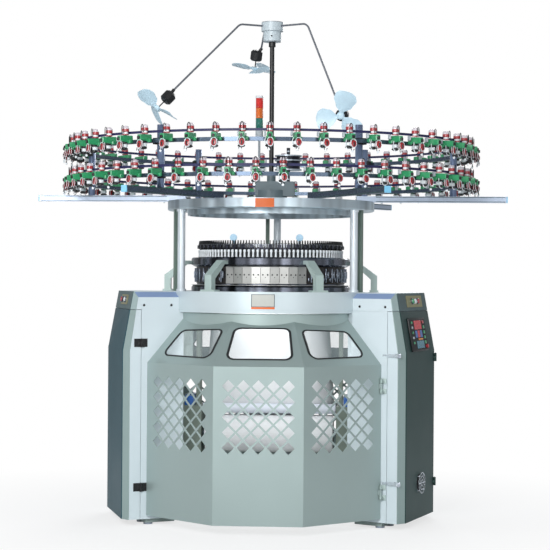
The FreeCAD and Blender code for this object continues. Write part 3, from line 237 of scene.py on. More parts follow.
def colours_mixed(factor, below, above, blend_type="MIX"):
    return added(below.id_data, "Mix", {"Factor": factor, "A": below, "B": above},
                 data_type="RGBA", blend_type=blend_type).outputs["Result"]


def given_out(given, out, tones, dulling, height):
    """Puts out the colour times two tones, the roughness and its changes, and a height."""
    tone = times(spread(*tones[0]), spread(*tones[1]))
    links = height.id_data.links
    links.new(colours_mixed(1, given["Color"], tone, "MULTIPLY"), out["Color"])
    links.new(maths("ADD", given["Roughness"], spread(*dulling)), out["Roughness"])
    links.new(height, out["Height"])


# %% [markdown]
# Enamel on sheet steel is never quite even: it has a fine orange peel, slow changes of tone, and
# it is a little duller where hands and cloths have been. Noise at three scales gives that.

# %% Enamel
enamel, given, out = effect("enamel_surface", Variation=0.08)
place = here(enamel)
slow, flake = noise(place, 2.2), noise(place, 2600.0, 0.0)
darkest = maths("SUBTRACT", 1.0, given["Variation"])
given_out(given, out, [(slow, darkest, 1.04), (flake, 0.94, 1.05)], (slow, -0.06, 0.08),
          noise(place, 900.0, 1.0))

# %% [markdown]
# Turned steel shows fine rings left by the tool. They follow the machine's axis, so the noise
# reads the distance from that axis and the height, and is the same all the way round. A polished
# ring also mirrors dark and light parts of the room; the dark sectors are painted reflections of
# those, set into the steel's colour.

# %% Turned steel
REFLECTION_FROM, REFLECTION_EDGE = 0.36, 3.4    # where the dark turns light, and how sharply
turned, given, out = effect("turned_steel", Lines=1600.0, Dark_Sectors=0.8)
own = axes_of(here(turned))
across = maths("SQRT", maths("ADD", times(own["X"], own["X"]), times(own["Y"], own["Y"])))
ring_point = added(turned, "CombineXYZ", {"X": across, "Z": own["Z"]}).outputs[0]
lines, stain = noise(ring_point, given["Lines"], 2.0), noise(here(turned), 6.0)
compass = added(turned, "CombineXYZ", {axis: maths("DIVIDE", own[axis], across)
                                       for axis in "XY"}).outputs[0]
# Painted reflection: dark sectors round the axis, as if dark parts of the room were mirrored there.
painted_reflection = times(maths("SUBTRACT", noise(compass, 7.0, 1.0), REFLECTION_FROM), REFLECTION_EDGE)
painted_reflection = spread(added(turned, "Clamp", {"Value": painted_reflection}).outputs[0], given["Dark Sectors"], 1.15)
stain_and_reflection = times(spread(stain, 0.9, 1.06), painted_reflection)
given_out(given, out, [(lines, 0.86, 1.06), (stain_and_reflection, 0.0, 1.0)], (lines, -0.05, 0.10), lines)

# %% [markdown]
# Drawn bars and ground plates carry hairlines along the way they were pulled or ground. Noise
# whose coordinates are squeezed more across the bar than along it becomes such lines.

# %% Drawn metal
drawn, given, out = effect("drawn_metal", Stretch=(400, 400, 8))
stretched = added(drawn, "VectorMath", {0: here(drawn), 1: given["Stretch"]},
                  operation="MULTIPLY").outputs[0]
hair, haze = noise(stretched, 1.0), noise(here(drawn), 9.0)
given_out(given, out, [(hair, 0.88, 1.05), (haze, 0.92, 1.05)], (haze, -0.06, 0.08), hair)

# %% [markdown]
# A casting and a moulded plastic are alike in kind and differ in size of grain: a casting is
# pebbled at a millimetre or two under its paint, a moulding at a few tenths.

# %% Grain
grained, given, out = effect("grained_surface", Grain=700.0)
grain, patch = noise(here(grained), given["Grain"], 2.0), noise(here(grained), 14.0)
given_out(given, out, [(grain, 0.92, 1.06), (patch, 0.9, 1.06)], (patch, -0.08, 0.08), grain)

# %% [markdown]
# Plain knit is columns of small V-shaped stitches. The cloth's UV map counts columns and rows, so
# two slanted waves, mirrored about the middle of each column, draw the legs of the V.

# %% Knit
knit, given, out = effect("knit_stitches", Columns=320.0)
chart = axes_of(added(knit, "TexCoord").outputs["UV"])
column = maths("FRACT", times(chart["X"], given["Columns"]))
leg = maths("ABSOLUTE", maths("SUBTRACT", column, 0.5))
row = maths("ADD", times(chart["Y"], given["Columns"]), leg)
slant = maths("SINE", times(row, 2 * math.pi))
ridge = times(spread(slant, 0.0, 1.0), maths("SINE", times(column, math.pi)))
cloud = noise(here(knit), 7.0)
given_out(given, out, [(ridge, 0.84, 1.04), (cloud, 0.95, 1.03)], (cloud, 0.0, 0.0), ridge)

# %% [markdown]
# The leg covers are coloured in zones that follow the sheet's folds: pale on the long side faces,
# grey-green on the narrow chamfer, slate on the end panel and blue-grey on the top bevel. The pale
# side faces are the covers' own paint; the darker chamfer and end panel are partly painted shade,
# darker as they turn from the front, and the bevel's blue is partly a painted reflection of the sky.
# A group finds the zone of a point from its distance to the planes of those faces, the same on the
# left as on the right. A cut in the mesh would do it too, but the covers are CAD nodes, which stay
# as they are.

# %% Zones of the leg covers
FOLD = 0.0046                                   # how far a zone's colour reaches round its fold
LEAN_FROM, LEAN_TO, LEAN = 1.152, 1.542, 0.068  # the end panel leans back between two heights
BEVEL_LOW, BEVEL_HIGH = 1.5045, 1.5385
# Planes, as the normal seen from above, the reach along it and how far the plane leans back
BEVEL_PLANE = (-0.5, -0.866), 0.060, 0.0
CHAMFER_PLANE = (0.6876, -0.7261), 1.0745 - FOLD, 0.87
END_PLANE = (0.9533, -0.302), 1.0725 - FOLD, 1.0
zones, given, out = effect("cover_zones", TINT, Side=WHITE, Chamfer=WHITE, End=WHITE, Bevel=WHITE)
own = axes_of(here(zones))
sideways, forwards, height = maths("ABSOLUTE", own["X"]), own["Y"], own["Z"]
leaning = spread(height, 0.0, LEAN, LEAN_FROM, LEAN_TO)


def beyond(normal, reach, lean_share):
    """1 where a point lies outside the plane."""
    depth = maths("ADD", times(sideways, normal[0]), times(forwards, normal[1]))
    depth = maths("ADD", depth, times(leaning, lean_share))
    return maths("GREATER_THAN", depth, reach)


on_bevel = times(maths("GREATER_THAN", height, BEVEL_LOW),
                 maths("LESS_THAN", height, BEVEL_HIGH))
on_bevel = times(on_bevel, beyond(*BEVEL_PLANE))
tint = given["Side"]
for label, mask in (("Bevel", on_bevel), ("Chamfer", beyond(*CHAMFER_PLANE)),
                    ("End", beyond(*END_PLANE))):
    tint = colours_mixed(mask, tint, given[label])
zones.links.new(tint, out["Color"])

# %% [markdown]
# A tape pulley is steel with black toothed belts between its flanges. The belts repeat up the
# stack at an even pitch, so a saw-tooth of the height tells belt from flange.

# %% Banded pulley
FLANGE_SHARE = 0.26                     # of the pitch; the belt takes the rest
banded, given, out = effect("banded_by_height", TINT, Flange=WHITE, Belt=WHITE, Pitch=0.032,
                            Start=0.0)
rise = maths("SUBTRACT", axes_of(here(banded))["Z"], given["Start"])
phase = maths("FRACT", maths("DIVIDE", rise, given["Pitch"]))
on_belt = maths("GREATER_THAN", phase, FLANGE_SHARE)
banded.links.new(colours_mixed(on_belt, given["Flange"], given["Belt"]), out["Color"])

# %% [markdown]
# ## Finishes
# One function lays an effect into a Principled shader. Numbers that are the same all over a
# surface, such as metal or coat, are set on the shader itself. Finishes of one kind share their
# effect and relief, so a kind is a function that makes them and each finish is one line.

# %% Finish helpers
def finish(name, group, colour, roughness, relief, depth=0.0003, **values):
    """A material from an effect; the other values go to the effect or to the shader."""
    material, tree, shader = blank(name, colour)
    laid = added(tree, "Group", {}, node_tree=group)
    for label, value in (("Color", colour), ("Roughness", roughness)):
        laid.inputs[label].default_value = value
    bump = added(tree, "Bump", {"Strength": relief, "Distance": depth,
                                "Height": laid.outputs["Height"]})
    tree.links.new(laid.outputs["Color"], shader.inputs["Base Color"])
    tree.links.new(laid.outputs["Roughness"], shader.inputs["Roughness"])
    tree.links.new(bump.outputs["Normal"], shader.inputs["Normal"])
    for word, value in values.items():
        label = word.replace("_", " ").title().replace("Ior", "IOR")
        (laid if label in laid.inputs else shader).inputs[label].default_value = value
    return material


def coloured_by(material, group, **values):
    """Lets a colour group decide the tint of a finish, place by place."""
    tree = material.node_tree
    laid = next(node for node in tree.nodes if node.type == "GROUP")
    chooser = added(tree, "Group", values, node_tree=group)
    tree.links.new(chooser.outputs["Color"], laid.inputs["Color"])
    return material


def clear(name, colour, alpha):
    """Clear acrylic, whose alpha is the share of light that it holds back."""
    material, tree, shader = blank(name, colour)
    for label, value in (("Base Color", colour), ("Roughness", 0.06), ("Alpha", alpha),
                         ("IOR", 1.49)):
        shader.inputs[label].default_value = value
    return material


def kind(group, usual_relief, **usual):
    """A maker of finishes: each has a tint in screen values and a roughness."""
    def make(name, tint, roughness, relief=usual_relief, **values):
        return finish(name, group, linear(*tint), roughness, relief, **{**usual, **values})
    return make


# %% Paints and castings
painted = kind(enamel, 0.06)
sage = painted("sage_enamel", (160, 176, 174), 0.38, metallic=0.5, coat_weight=0.1)
slate = painted("slate_enamel", (58, 80, 76), 0.42, specular_ior_level=0.2)
pale_sage = painted("pale_enamel", (200, 212, 216), 0.36, metallic=0.3, coat_weight=0.15)
bracket_paint = painted("bracket_enamel", (168, 186, 182), 0.4, metallic=0.2)
post_paint = painted("post_enamel", (112, 130, 120), 0.4, metallic=0.2)
deep_blue = painted("blue_enamel", (44, 98, 176), 0.35, 0.05, coat_weight=0.3)
orange = painted("orange_enamel", (222, 104, 36), 0.4, 0.04)
gold = painted("olive_plate", (148, 142, 98), 0.36, 0.04, metallic=0.4)


def zoned(name, chamfer, end):
    """A leg cover's paint, with painted shade on its chamfer and end panel; side faces and bevel
    match every cover.
    """
    side = (206, 218, 223)
    paint = painted(name, side, 0.42, metallic=0.1, specular_ior_level=0.15)
    return coloured_by(paint, zones, Side=linear(*side), Chamfer=linear(*chamfer),
                       End=linear(*end), Bevel=linear(136, 158, 196))


# The chamfer and end tints carry painted shade, and the blue-grey bevel a painted reflection.
panels = zoned("cover_enamel", (146, 164, 162), (52, 74, 72))
# The left covers' copy has a bluer end panel only because that side was lit differently: painted
# light.
left_panels_painted_light = zoned("cover_enamel_left_painted_light", (146, 164, 162), (44, 78, 88))
caps = zoned("cap_enamel", (158, 176, 176), (84, 102, 104))

casting = kind(grained, 0.25, depth=0.0008, grain=260.0)
cast_paint = casting("painted_casting", (150, 164, 160), 0.5)
hub_paint = casting("hub_casting", (96, 112, 118), 0.45)
case_grey = casting("gear_case_paint", (120, 132, 122), 0.5, 0.2)
dark_cast = casting("dark_casting", (62, 68, 72), 0.5)

# %% Steels
# Every turned steel has dark sectors in its colour, a painted reflection; dark_sectors sets how dark
# they get.
lathe = kind(turned, 0.05, metallic=1.0)
crown_steel = lathe("crown_steel", (206, 220, 228), 0.34, 0.04, dark_sectors=0.55, metallic=0.85)
ring_steel = lathe("turned_ring_steel", (140, 144, 150), 0.2)
carrier_steel = lathe("carrier_steel", (126, 130, 142), 0.2, dark_sectors=0.12)
dark_steel = lathe("dark_turned_steel", (72, 74, 84), 0.22)

bar_metal = kind(drawn, 0.05)
GROUND = (60, 60, 900)
# The cam plates are one steel: the ground plate at the front is a painted highlight, the dark plate
# beyond it painted shade.
plate_steel = bar_metal("ground_plate", (188, 188, 185), 0.3, 0.04, stretch=GROUND, metallic=0.75)
shaded_plate = bar_metal("shaded_plate_steel", (64, 60, 58), 0.32, stretch=GROUND, metallic=0.8)
chrome = bar_metal("chromed_steel", (226, 232, 240), 0.16, 0.02, metallic=0.8)
bright_steel = bar_metal("drawn_steel", (176, 184, 198), 0.24, 0.04, metallic=1.0)
column_steel = bar_metal("column_steel", (222, 230, 236), 0.22, 0.03, metallic=0.35)
alloy = bar_metal("drawn_alloy", (178, 190, 208), 0.34, metallic=0.6)
blue_rail = bar_metal("blue_grey_rail", (128, 144, 176), 0.28, metallic=0.7)
dark_rail = bar_metal("feeder_rail_steel", (84, 98, 116), 0.26, metallic=0.7)
tube_steel = bar_metal("fan_tube_steel", (112, 116, 124), 0.36, 0.04, metallic=0.4)
pulley_steel = coloured_by(bar_metal("pulley_steel", (176, 184, 192), 0.3, metallic=0.5), banded,
                           Flange=linear(176, 186, 196), Belt=linear(24, 28, 40), Start=2.378)

# %% Mouldings, rubber, lenses, displays and cloth
moulded = kind(grained, 0.05)
black = moulded("black_moulding", (13, 14, 17), 0.42, 0.12)
pale_rubber = moulded("pale_rubber", (206, 212, 222), 0.6, 0.2, grain=500.0)
soft_black = moulded("black_rubber", (30, 32, 34), 0.7, 0.2, grain=500.0)
navy = moulded("navy_tape", (28, 30, 78), 0.55, 0.2)
white_moulding = moulded("white_moulding", (232, 238, 242), 0.32)
grey_moulding = moulded("grey_moulding", (176, 184, 190), 0.36)
head_grey = moulded("fan_head_moulding", (190, 202, 208), 0.36)
badge_face = moulded("badge_face", (186, 188, 182), 0.4, 0.04)
blade_blue = moulded("pale_blade", (190, 216, 230), 0.34, 0.01, grain=120.0)
green = moulded("green_moulding", (46, 148, 96), 0.34, coat_weight=0.3)
red = moulded("red_moulding", (168, 44, 50), 0.3, coat_weight=0.4)
dark_red = moulded("dark_red_moulding", (150, 24, 32), 0.32, coat_weight=0.3)
sky_blue = moulded("sky_blue_moulding", (124, 192, 226), 0.3, 0.04, coat_weight=0.3)
lamp_blue = moulded("lamp_moulding", (168, 206, 230), 0.3, 0.04, coat_weight=0.3)

display = kind(grained, 0.02)
screen_red = display("red_display", (210, 40, 56), 0.25)
screen_amber = display("amber_display", (230, 140, 40), 0.25)
screen_teal = display("teal_display", (70, 130, 150), 0.25)
lens = kind(grained, 0.03, coat_weight=0.6)
lens_red = lens("red_lens", (214, 40, 34), 0.2)
lens_amber = lens("amber_lens", (226, 110, 30), 0.2)
lens_green = lens("green_lens", (20, 106, 92), 0.2)
window_clear = clear("window_clear", linear(214, 226, 230), 0.12)
dome_clear = clear("dome_clear", linear(222, 214, 222), 0.7)
cloth_white = finish("white_knit", knit, linear(236, 238, 240), 0.9, 0.5, 0.0008, sheen_weight=0.3)
print(len(bpy.data.materials), "materials")

# %% [markdown]
# ## Dressing the CAD nodes
# A node whose shape is right keeps its mesh and only gets its finish. The table pairs each finish
# with the nodes that wear it.

# %% Finishes of the kept nodes
WORN = {
    sage: "gate_front gate_right gate_left",
    panels: "cover_back",
    left_panels_painted_light: "cover_left",
    caps: "leg_caps",
    pale_sage: "bed_plate",
    bracket_paint: "ring_brackets",
    crown_steel: "crown_ring",
    cast_paint: "legs main_motor",
    hub_paint: "crown_hub",
    post_paint: "cable_posts",
    case_grey: "takedown_frame",
    bright_steel: "levelling_screws pinion ring_gear needle_cylinder",
    carrier_steel: "cam_saddle carrier_ring",
    column_steel: "columns",
    chrome: "latch_upper latch_lower",
    pulley_steel: "pulley_stack",
    dark_rail: "feeder_rails",
    tube_steel: "fan_hub",
    black: "fan_motors fan_pole",
    pale_rubber: "draw_roller",
    soft_black: "nip_roller vent_fan",
    navy: "drive_tapes",
    sky_blue: "beam_caps",
    lamp_blue: "sensor_heads",
}


def wear(piece, material):
    piece.data.materials.clear()
    piece.data.materials.append(material)


for material, names in WORN.items():
    for name in names.split():
        wear(nodes[name], material)
print("kept nodes:", *WORN.values())

# %% [markdown]
# Some nodes hold pieces of different finish, such as window panes with their rubber frames. A copy
# of the node is merged, because its triangles come loose, and taken apart into its solids. Each
# solid is told by its place or its size, and the solids of one finish become one piece.

# %% Taking a node apart
MERGE = 1e-6


def picked(*pieces):
    """Selects these pieces and no others; the first is the active one."""
    bpy.ops.object.select_all(action="DESELECT")
    for piece in pieces:
        piece.select_set(True)
    bpy.context.view_layer.objects.active = pieces[0]


def edited(piece, *steps):
    """Runs edit-mode steps on a piece, each an operator's name and options, on its whole mesh."""
    picked(piece)
    bpy.ops.object.mode_set(mode="EDIT")
    for operator, options in steps:
        bpy.ops.mesh.select_all(action="SELECT")
        getattr(bpy.ops.mesh, operator)(**options)
    bpy.ops.object.mode_set(mode="OBJECT")
    return piece


WELDED = "remove_doubles", {"threshold": MERGE}
FACES_OUT = "normals_make_consistent", {"inside": False}


def solids_of(node):
    """Copies of a node's separate solids, as objects."""
    edited(shown(node + "_solid", nodes[node].data.copy()), WELDED, ("separate", {"type": "LOOSE"}))
    return list(bpy.context.selected_objects)


def joined(pieces):
    """Several objects made one mesh."""
    picked(*pieces)
    if len(pieces) > 1:
        bpy.ops.object.join()
    return pieces[0]


def settled(name, piece, body, material, node=None, angle=35):
    """Names a finished piece and gives it its smooth faces, finish and body."""
    picked(piece)
    bpy.ops.object.shade_smooth_by_angle(angle=math.radians(angle))
    piece.name = piece.data.name = name
    wear(piece, material)
    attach(piece, body)
    if node:
        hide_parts(node)
    piece.select_set(False)
    print(name, "rides", body, "with", len(piece.data.polygons), "faces")


def dress(node, body, *parts):
    """Dresses a node in parts: a solid joins the first part whose test it passes, or the last."""
    left = solids_of(node)
    for name, slot, material, *test in parts:
        part = [solid for solid in left if not test or test[0](solid)]
        left = [solid for solid in left if solid not in part]
        settled(name, joined(part), body, material, node)


# %% Telling solids apart
def low(piece, axis):
    return min(vertex.co[axis] for vertex in piece.data.vertices)


def high(piece, axis):
    return max(vertex.co[axis] for vertex in piece.data.vertices)


def length(piece, axis):
    return high(piece, axis) - low(piece, axis)


def has_hole(piece):
    """True for a solid shaped like a frame or a ring, by its count of corners, edges and faces."""
    mesh = piece.data
    return len(mesh.vertices) - len(mesh.edges) + len(mesh.polygons) < 2


def small(piece):
    """True for knuckles, keepers and brackets, and not for the sheet of a door or a cover."""
    return length(piece, 2) < 0.5


# %% Nodes of several finishes
for side in ("front", "right", "left"):
    dress("windows_" + side, "gate_" + side,
          ("panes_" + side, "clear", window_clear, lambda solid: not has_hole(solid)),
          ("window_rubber_" + side, "clear", soft_black))
dress("vent_guard", "door_right",
      ("vent_motor", "bright", black, lambda solid: low(solid, 0) < 1.0),
      ("vent_wires", "bright", chrome))
dress("tower_lenses", "frame",
      ("tower_lens_green", "lens", lens_green, lambda solid: low(solid, 2) < 2.70),
      ("tower_lens_amber", "lens", lens_amber, lambda solid: low(solid, 2) < 2.78),
      ("tower_lens_red", "lens", lens_red))
dress("tower_base", "frame",
      ("tower_foot", "white_plastic", grey_moulding, lambda solid: low(solid, 2) < 2.5),
      ("tower_cap", "white_plastic", white_moulding))
dress("hinges", "frame",
      ("hinges_left_door", "black", black,
       lambda solid: high(solid, 0) < -0.7 and low(solid, 1) < -0.5),
      ("hinges_right_door", "black", slate, lambda solid: low(solid, 0) > 1.0),
      ("hinges_gates", "black", bracket_paint))
dress("radial_beams", "frame",
      ("front_beams", "bright", dark_rail, lambda solid: low(solid, 1) < -0.9),
      ("other_beams", "bright", alloy))
dress("cover_right", "frame", ("latch_keepers", "bright", chrome, small),
      ("cover_right_sheet", "cream", panels))
dress("door_left", "door_left", ("door_left_knuckles", "black", black, small),
      ("door_left_sheet", "cream", left_panels_painted_light))
dress("tier_posts", "frame",
      ("tier_post_tubes", "bright", blue_rail, lambda solid: length(solid, 2) > 0.2),
      ("tier_clamps", "bright", soft_black))

# %% [markdown]
# ## Making new pieces
# A piece starts as a primitive at its size and place and is then shaped. A turned piece is a disc
# extruded and scaled up its profile; a hoop is a section spun about the machine's axis; a block is
# a cube with its edges bevelled; a wire is a curve with a round section, made a mesh.

# %% Shaping helpers
def placed():
    """The active object, its place put into its mesh."""
    bpy.ops.object.transform_apply(location=True, rotation=True, scale=True)
    return bpy.context.active_object


def applied(piece, kind, **settings):
    modifier = piece.modifiers.new(kind.lower(), kind)
    for label, value in settings.items():
        setattr(modifier, label, value)
    bpy.context.view_layer.objects.active = piece
    bpy.ops.object.modifier_apply(modifier=modifier.name)
    return piece


def block(low, high, bevel=0.0, segments=1):
    bpy.ops.mesh.primitive_cube_add(size=1, location=[(a + b) / 2 for a, b in zip(low, high)],
                                    scale=[b - a for a, b in zip(low, high)])
    piece = placed()
    if bevel:
        applied(piece, "BEVEL", width=bevel, segments=segments, limit_method="ANGLE")
    return piece


def turned_form(profile, sides=32):
    """A disc extruded and scaled along Z through its profile of (radius, height)."""
    radius, height = profile[0]
    bpy.ops.mesh.primitive_circle_add(vertices=sides, radius=radius, fill_type="NGON",
                                      location=(0, 0, height))
    piece = placed()
    bpy.ops.object.mode_set(mode="EDIT")
    bpy.ops.mesh.select_all(action="SELECT")
    for wide, up in profile[1:]:
        bpy.ops.mesh.extrude_region_move(TRANSFORM_OT_translate={"value": (0, 0, up - height)})
        bpy.ops.transform.resize(value=(wide / radius, wide / radius, 1),
                                 center_override=(0, 0, up))
        radius, height = wide, up
    bpy.ops.object.mode_set(mode="OBJECT")
    return edited(piece, FACES_OUT)


def hoop(inner, outer, low, high, steps=153, start=0.0, angle=360.0):
    """A rectangular section between two radii and two heights, spun about the machine's axis."""
    bpy.ops.mesh.primitive_circle_add(vertices=4, radius=1, fill_type="NGON")
    piece = placed()
    begin = Matrix.Rotation(math.radians(start), 3, "Z")
    section = (inner, low), (outer, low), (outer, high), (inner, high)
    for vertex, (radius, height) in zip(piece.data.vertices, section):
        vertex.co = begin @ Vector((0, -radius, height))
    open_section = [("delete", {"type": "ONLY_FACE"})] if angle == 360 else []
    spin = "spin", {"steps": steps, "angle": math.radians(angle), "center": (0, 0, 0),
                    "axis": (0, 0, -1)}
    return edited(piece, *open_section, spin, WELDED, FACES_OUT)


def wire(points, radius):
    """A round wire along a smooth line through its first and last points, made a mesh."""
    curve = bpy.data.curves.new("wire", "CURVE")
    curve.dimensions = "3D"
    curve.bevel_depth, curve.bevel_resolution, curve.use_fill_caps = radius, 0, True
    line = curve.splines.new("NURBS")
    line.points.add(len(points) - 1)
    for point, place in zip(line.points, points):
        point.co = (*place, 1)
    line.order_u, line.use_endpoint_u, line.resolution_u = 3, True, 4
    picked(shown("wire", curve))
    bpy.ops.object.convert(target="MESH")
    return bpy.context.active_object


# %% Placing helpers
def moved(piece, *steps):
    """Moves a piece's mesh: the last step comes first, as in a product of matrices."""
    for step in reversed(steps):
        piece.data.transform(step)
    return piece


def repeated(piece, matrices):
    """The piece copied to each place, all copies in one mesh."""
    twins = []
    for matrix in matrices:
        twins.append(shown("twin", piece.data.copy()))
        twins[-1].data.transform(matrix)
    bpy.data.objects.remove(piece)
    return joined(twins)


def shift(x, y, z):
    return Matrix.Translation((x, y, z))


def turn(angle, axis="Z"):
    return Matrix.Rotation(math.radians(angle), 4, axis)


def about_axis(angles):
    return [turn(angle) for angle in angles]


OUTWARD = turn(90, "X")     # lays a turned piece on its side, pointing to the front

# %% [markdown]
# The creel beams are extruded profiles, so a slot runs along each side near the top and the bottom.
# The slots are not cut: each is a thin slate strip on the face, painted shade of the groove.

# %% Beam slots
slot_shades = joined([block((x - 0.0006, -1.604, z - 0.0018), (x + 0.0006, -0.722, z + 0.0018))
                for x in (-0.0212, 0.0212) for z in (2.196, 2.166)])
settled("beam_slot_shades", repeated(slot_shades, about_axis((30, -30, 90, -90, 150, -150))), "frame",
        slate)

# %% [markdown]
# ## Feeders
# Each tier carries 51 positive feeders. One is a green moulded body with a clear cap over a red
# spool on top, a black and white yarn wheel and a red tension disc under it, and thin wire levers.
# It is modelled once at the front, in a few plain pieces of a few dozen faces, and every piece is
# then copied round both rings.

# %% Feeder places
FEEDS, TIER_HEIGHTS, SPINDLE = 51, (2.280, 2.495), 1.3612
TIER_PLACES = [turn(360.0 * (i + 0.5 * tier) / FEEDS) @ shift(0, 0, height)
               for tier, height in enumerate(TIER_HEIGHTS) for i in range(FEEDS)]


def on_feeders(name, piece, material, node=None, angle=30):
    """Copies a feeder's piece to every feeder."""
    settled(name, repeated(piece, TIER_PLACES), "frame", material, node, angle)


# %% Feeder body
shell = block((-0.022, -1.420, -0.008), (0.022, -1.3126, 0.040))
for vertex in shell.data.vertices:
    if vertex.co.y < -1.39:
        vertex.co.x *= 0.72
        vertex.co.z = 0.018 + (vertex.co.z - 0.018) * 0.75
    elif vertex.co.z > 0.03:
        vertex.co.x *= 0.85
applied(shell, "BEVEL", width=0.004, segments=1, limit_method="ANGLE")
on_feeders("feeder_shells", shell, green, node="feeder_bodies")
on_feeders("feeder_noses", block((-0.009, -1.430, 0.004), (0.009, -1.412, 0.024), 0.003), black)
on_feeders("feeder_arms", block((-0.026, -1.356, -0.012), (0.034, -1.334, 0.012), 0.004), green)
on_feeders("feeder_switches", block((-0.036, -1.352, 0.016), (-0.024, -1.326, 0.046), 0.003),
           grey_moulding)

# %% [markdown]
# The yarn passes round a small wheel under the feeder, driven by the spool that the tape turns.
# These pieces are turned ones, so each is a profile: a waist between two red flanges, a domed cap
# over them, and a black wheel below with the yarn wound on it.

# %% Spool, cap and yarn wheel
SPOOL_AXIS, WHEEL_AXIS = shift(0, -SPINDLE, 0), shift(-0.006, -SPINDLE - 0.004, 0)


def on_spindles(name, profiles, material, axis=SPOOL_AXIS, angle=40):
    """Turned pieces on the spindle of every feeder."""
    on_feeders(name, joined([moved(turned_form(profile, 10), axis) for profile in profiles]),
               material, "feeder_wheels", angle)


on_spindles("feeder_waists",
            [[(0.0170, 0.045), (0.0176, 0.047), (0.0176, 0.0635), (0.0170, 0.066)]],
            white_moulding)
on_spindles("feeder_spools",
            [[(0.0215, 0.041), (0.0225, 0.042), (0.0225, 0.0465), (0.0215, 0.047)],
             [(0.0200, 0.0600), (0.0236, 0.063), (0.0236, 0.078), (0.0225, 0.079)]], red)
on_spindles("feeder_caps", [[(0.0228, 0.079), (0.0226, 0.090), (0.018, 0.097), (0.008, 0.099)]],
            dome_clear, angle=60)
on_spindles("feeder_yarn_wheels",
            [[(0.014, -0.008), (0.023, -0.006), (0.023, -0.011), (0.015, -0.015),
              (0.015, -0.040), (0.023, -0.044), (0.023, -0.050), (0.012, -0.056)]],
            black, WHEEL_AXIS)
on_spindles("feeder_yarn",
            [[(0.0155, -0.016), (0.0215, -0.020), (0.0215, -0.036), (0.0155, -0.040)]],
            white_moulding, WHEEL_AXIS)

# %% [markdown]
# A spring presses two discs on the yarn to keep its tension. They lie almost upright in front of
# the body, with a pale rim each, and are drawn slightly taller than round, as in the picture.

# %% Tension disc
DISC_PLACE = shift(0.004, -1.402, -0.030) @ turn(84, "X") @ Matrix.Diagonal((1.0, 1.3, 1.0, 1.0))
disc = turned_form([(0.008, 0), (0.016, 0.002), (0.018, 0.007), (0.012, 0.012), (0.018, 0.017),
                    (0.016, 0.022), (0.005, 0.025)], 10)
on_feeders("tension_discs", moved(disc, DISC_PLACE), dark_red, angle=40)
RIM_R, RIM_WIRE = 0.0190, 0.0016
rims = []
for up in (0.0200, 0.0080):
    bpy.ops.mesh.primitive_torus_add(major_radius=RIM_R, minor_radius=RIM_WIRE, major_segments=12,
                                     minor_segments=4, location=(0, 0, up))
    rims.append(placed())
rim = joined(rims)
for vertex in rim.data.vertices:
    if vertex.co.y > 0.008:
        vertex.co.y += 0.004
on_feeders("disc_rims", moved(rim, DISC_PLACE), white_moulding, angle=40)
on_feeders("disc_posts", block((-0.002, -1.4295, -0.044), (0.010, -1.386, -0.018), 0.004), black)

# %% [markdown]
# The levers that stop the machine when a yarn breaks, and the guides that lead the yarn, are bent
# wires. A curve through a few points gives the bends; four sides are enough at this size.

# %% Levers and guides of a feeder
lever = wire([(-0.010, -1.3875, 0.038), (-0.010, -1.3880, 0.066), (-0.009, -1.3880, 0.092),
              (0.000, -1.3870, 0.102), (0.009, -1.3880, 0.092), (0.010, -1.3880, 0.066),
              (0.010, -1.3875, 0.050)], 0.0024)
eyelet = wire([(-0.006, -1.408, 0.002), (-0.009, -1.418, -0.036), (-0.016, -1.424, -0.066),
               (-0.004, -1.425, -0.076), (0.006, -1.424, -0.062)], 0.0026)
tip = moved(turned_form([(0.006, 0), (0.0085, 0.003), (0.0085, 0.009), (0.005, 0.012)], 8),
            shift(-0.005, -1.417, -0.074), OUTWARD)
guard = wire([(-0.022, -1.372, 0.004), (-0.034, -1.380, -0.020), (-0.034, -1.384, -0.052),
              (-0.018, -1.388, -0.064), (-0.006, -1.390, -0.058)], 0.0026)
for name, piece, material in (("stop_levers", lever, black), ("yarn_eyelets", eyelet, soft_black),
                              ("ceramic_tips", tip, white_moulding),
                              ("wheel_guards", guard, white_moulding)):
    on_feeders(name, piece, material, angle=60)

# %% [markdown]
# ## Knitting head
# The cam plates stand side by side round the cylinder, with a dark line between neighbours. Those
# at the front are drawn in bright ground steel, a painted highlight, and the rest in dark steel,
# painted shade; the dark ones carry levers and clips. Every plate has two bolts and a pin.

# %% Cam plates
STEP = 360.0 / FEEDS
LIT_ARC = 33                 # degrees to each side of the front
CAM_FACE = -0.509
GUIDES = about_axis([STEP * (i + 0.5) for i in range(FEEDS)])


def in_front(piece):
    """True for a plate within the arc that gets the painted highlight, by the sum of its corners."""
    x, y = (sum(vertex.co[axis] for vertex in piece.data.vertices) for axis in (0, 1))
    return abs(math.degrees(math.atan2(x, -y))) < LIT_ARC


# The front plates take bright steel as a painted highlight and the others dark steel as painted
# shade.
dress("cam_boxes", "frame", ("cam_plates_front", "alu", plate_steel, in_front),
      ("cam_plates_rest", "alu", shaded_plate))
bolts = [moved(turned_form([(radius, 0), (radius, 0.002), (radius * 0.8, 0.003)], 8),
               shift(side, CAM_FACE - 0.0005, up), OUTWARD)
         for side, up, radius in ((-0.016, 1.657, 0.0055), (0.016, 1.657, 0.0055),
                                  (0.0, 1.640, 0.003))]
clips = [block((-0.005, -0.524, 1.606), (0.005, CAM_FACE, 1.702), 0.002),
         block((0.011, -0.528, 1.634), (0.021, CAM_FACE, 1.682), 0.002),
         block((-0.022, -0.520, 1.615), (-0.013, CAM_FACE, 1.640), 0.002)]
joint = block((-0.0013, -0.5112, 1.606), (0.0013, -0.5085, 1.704))
angles = [STEP * i for i in range(FEEDS)]
shaded_angles = [angle for angle in angles if min(angle, 360 - angle) > LIT_ARC]
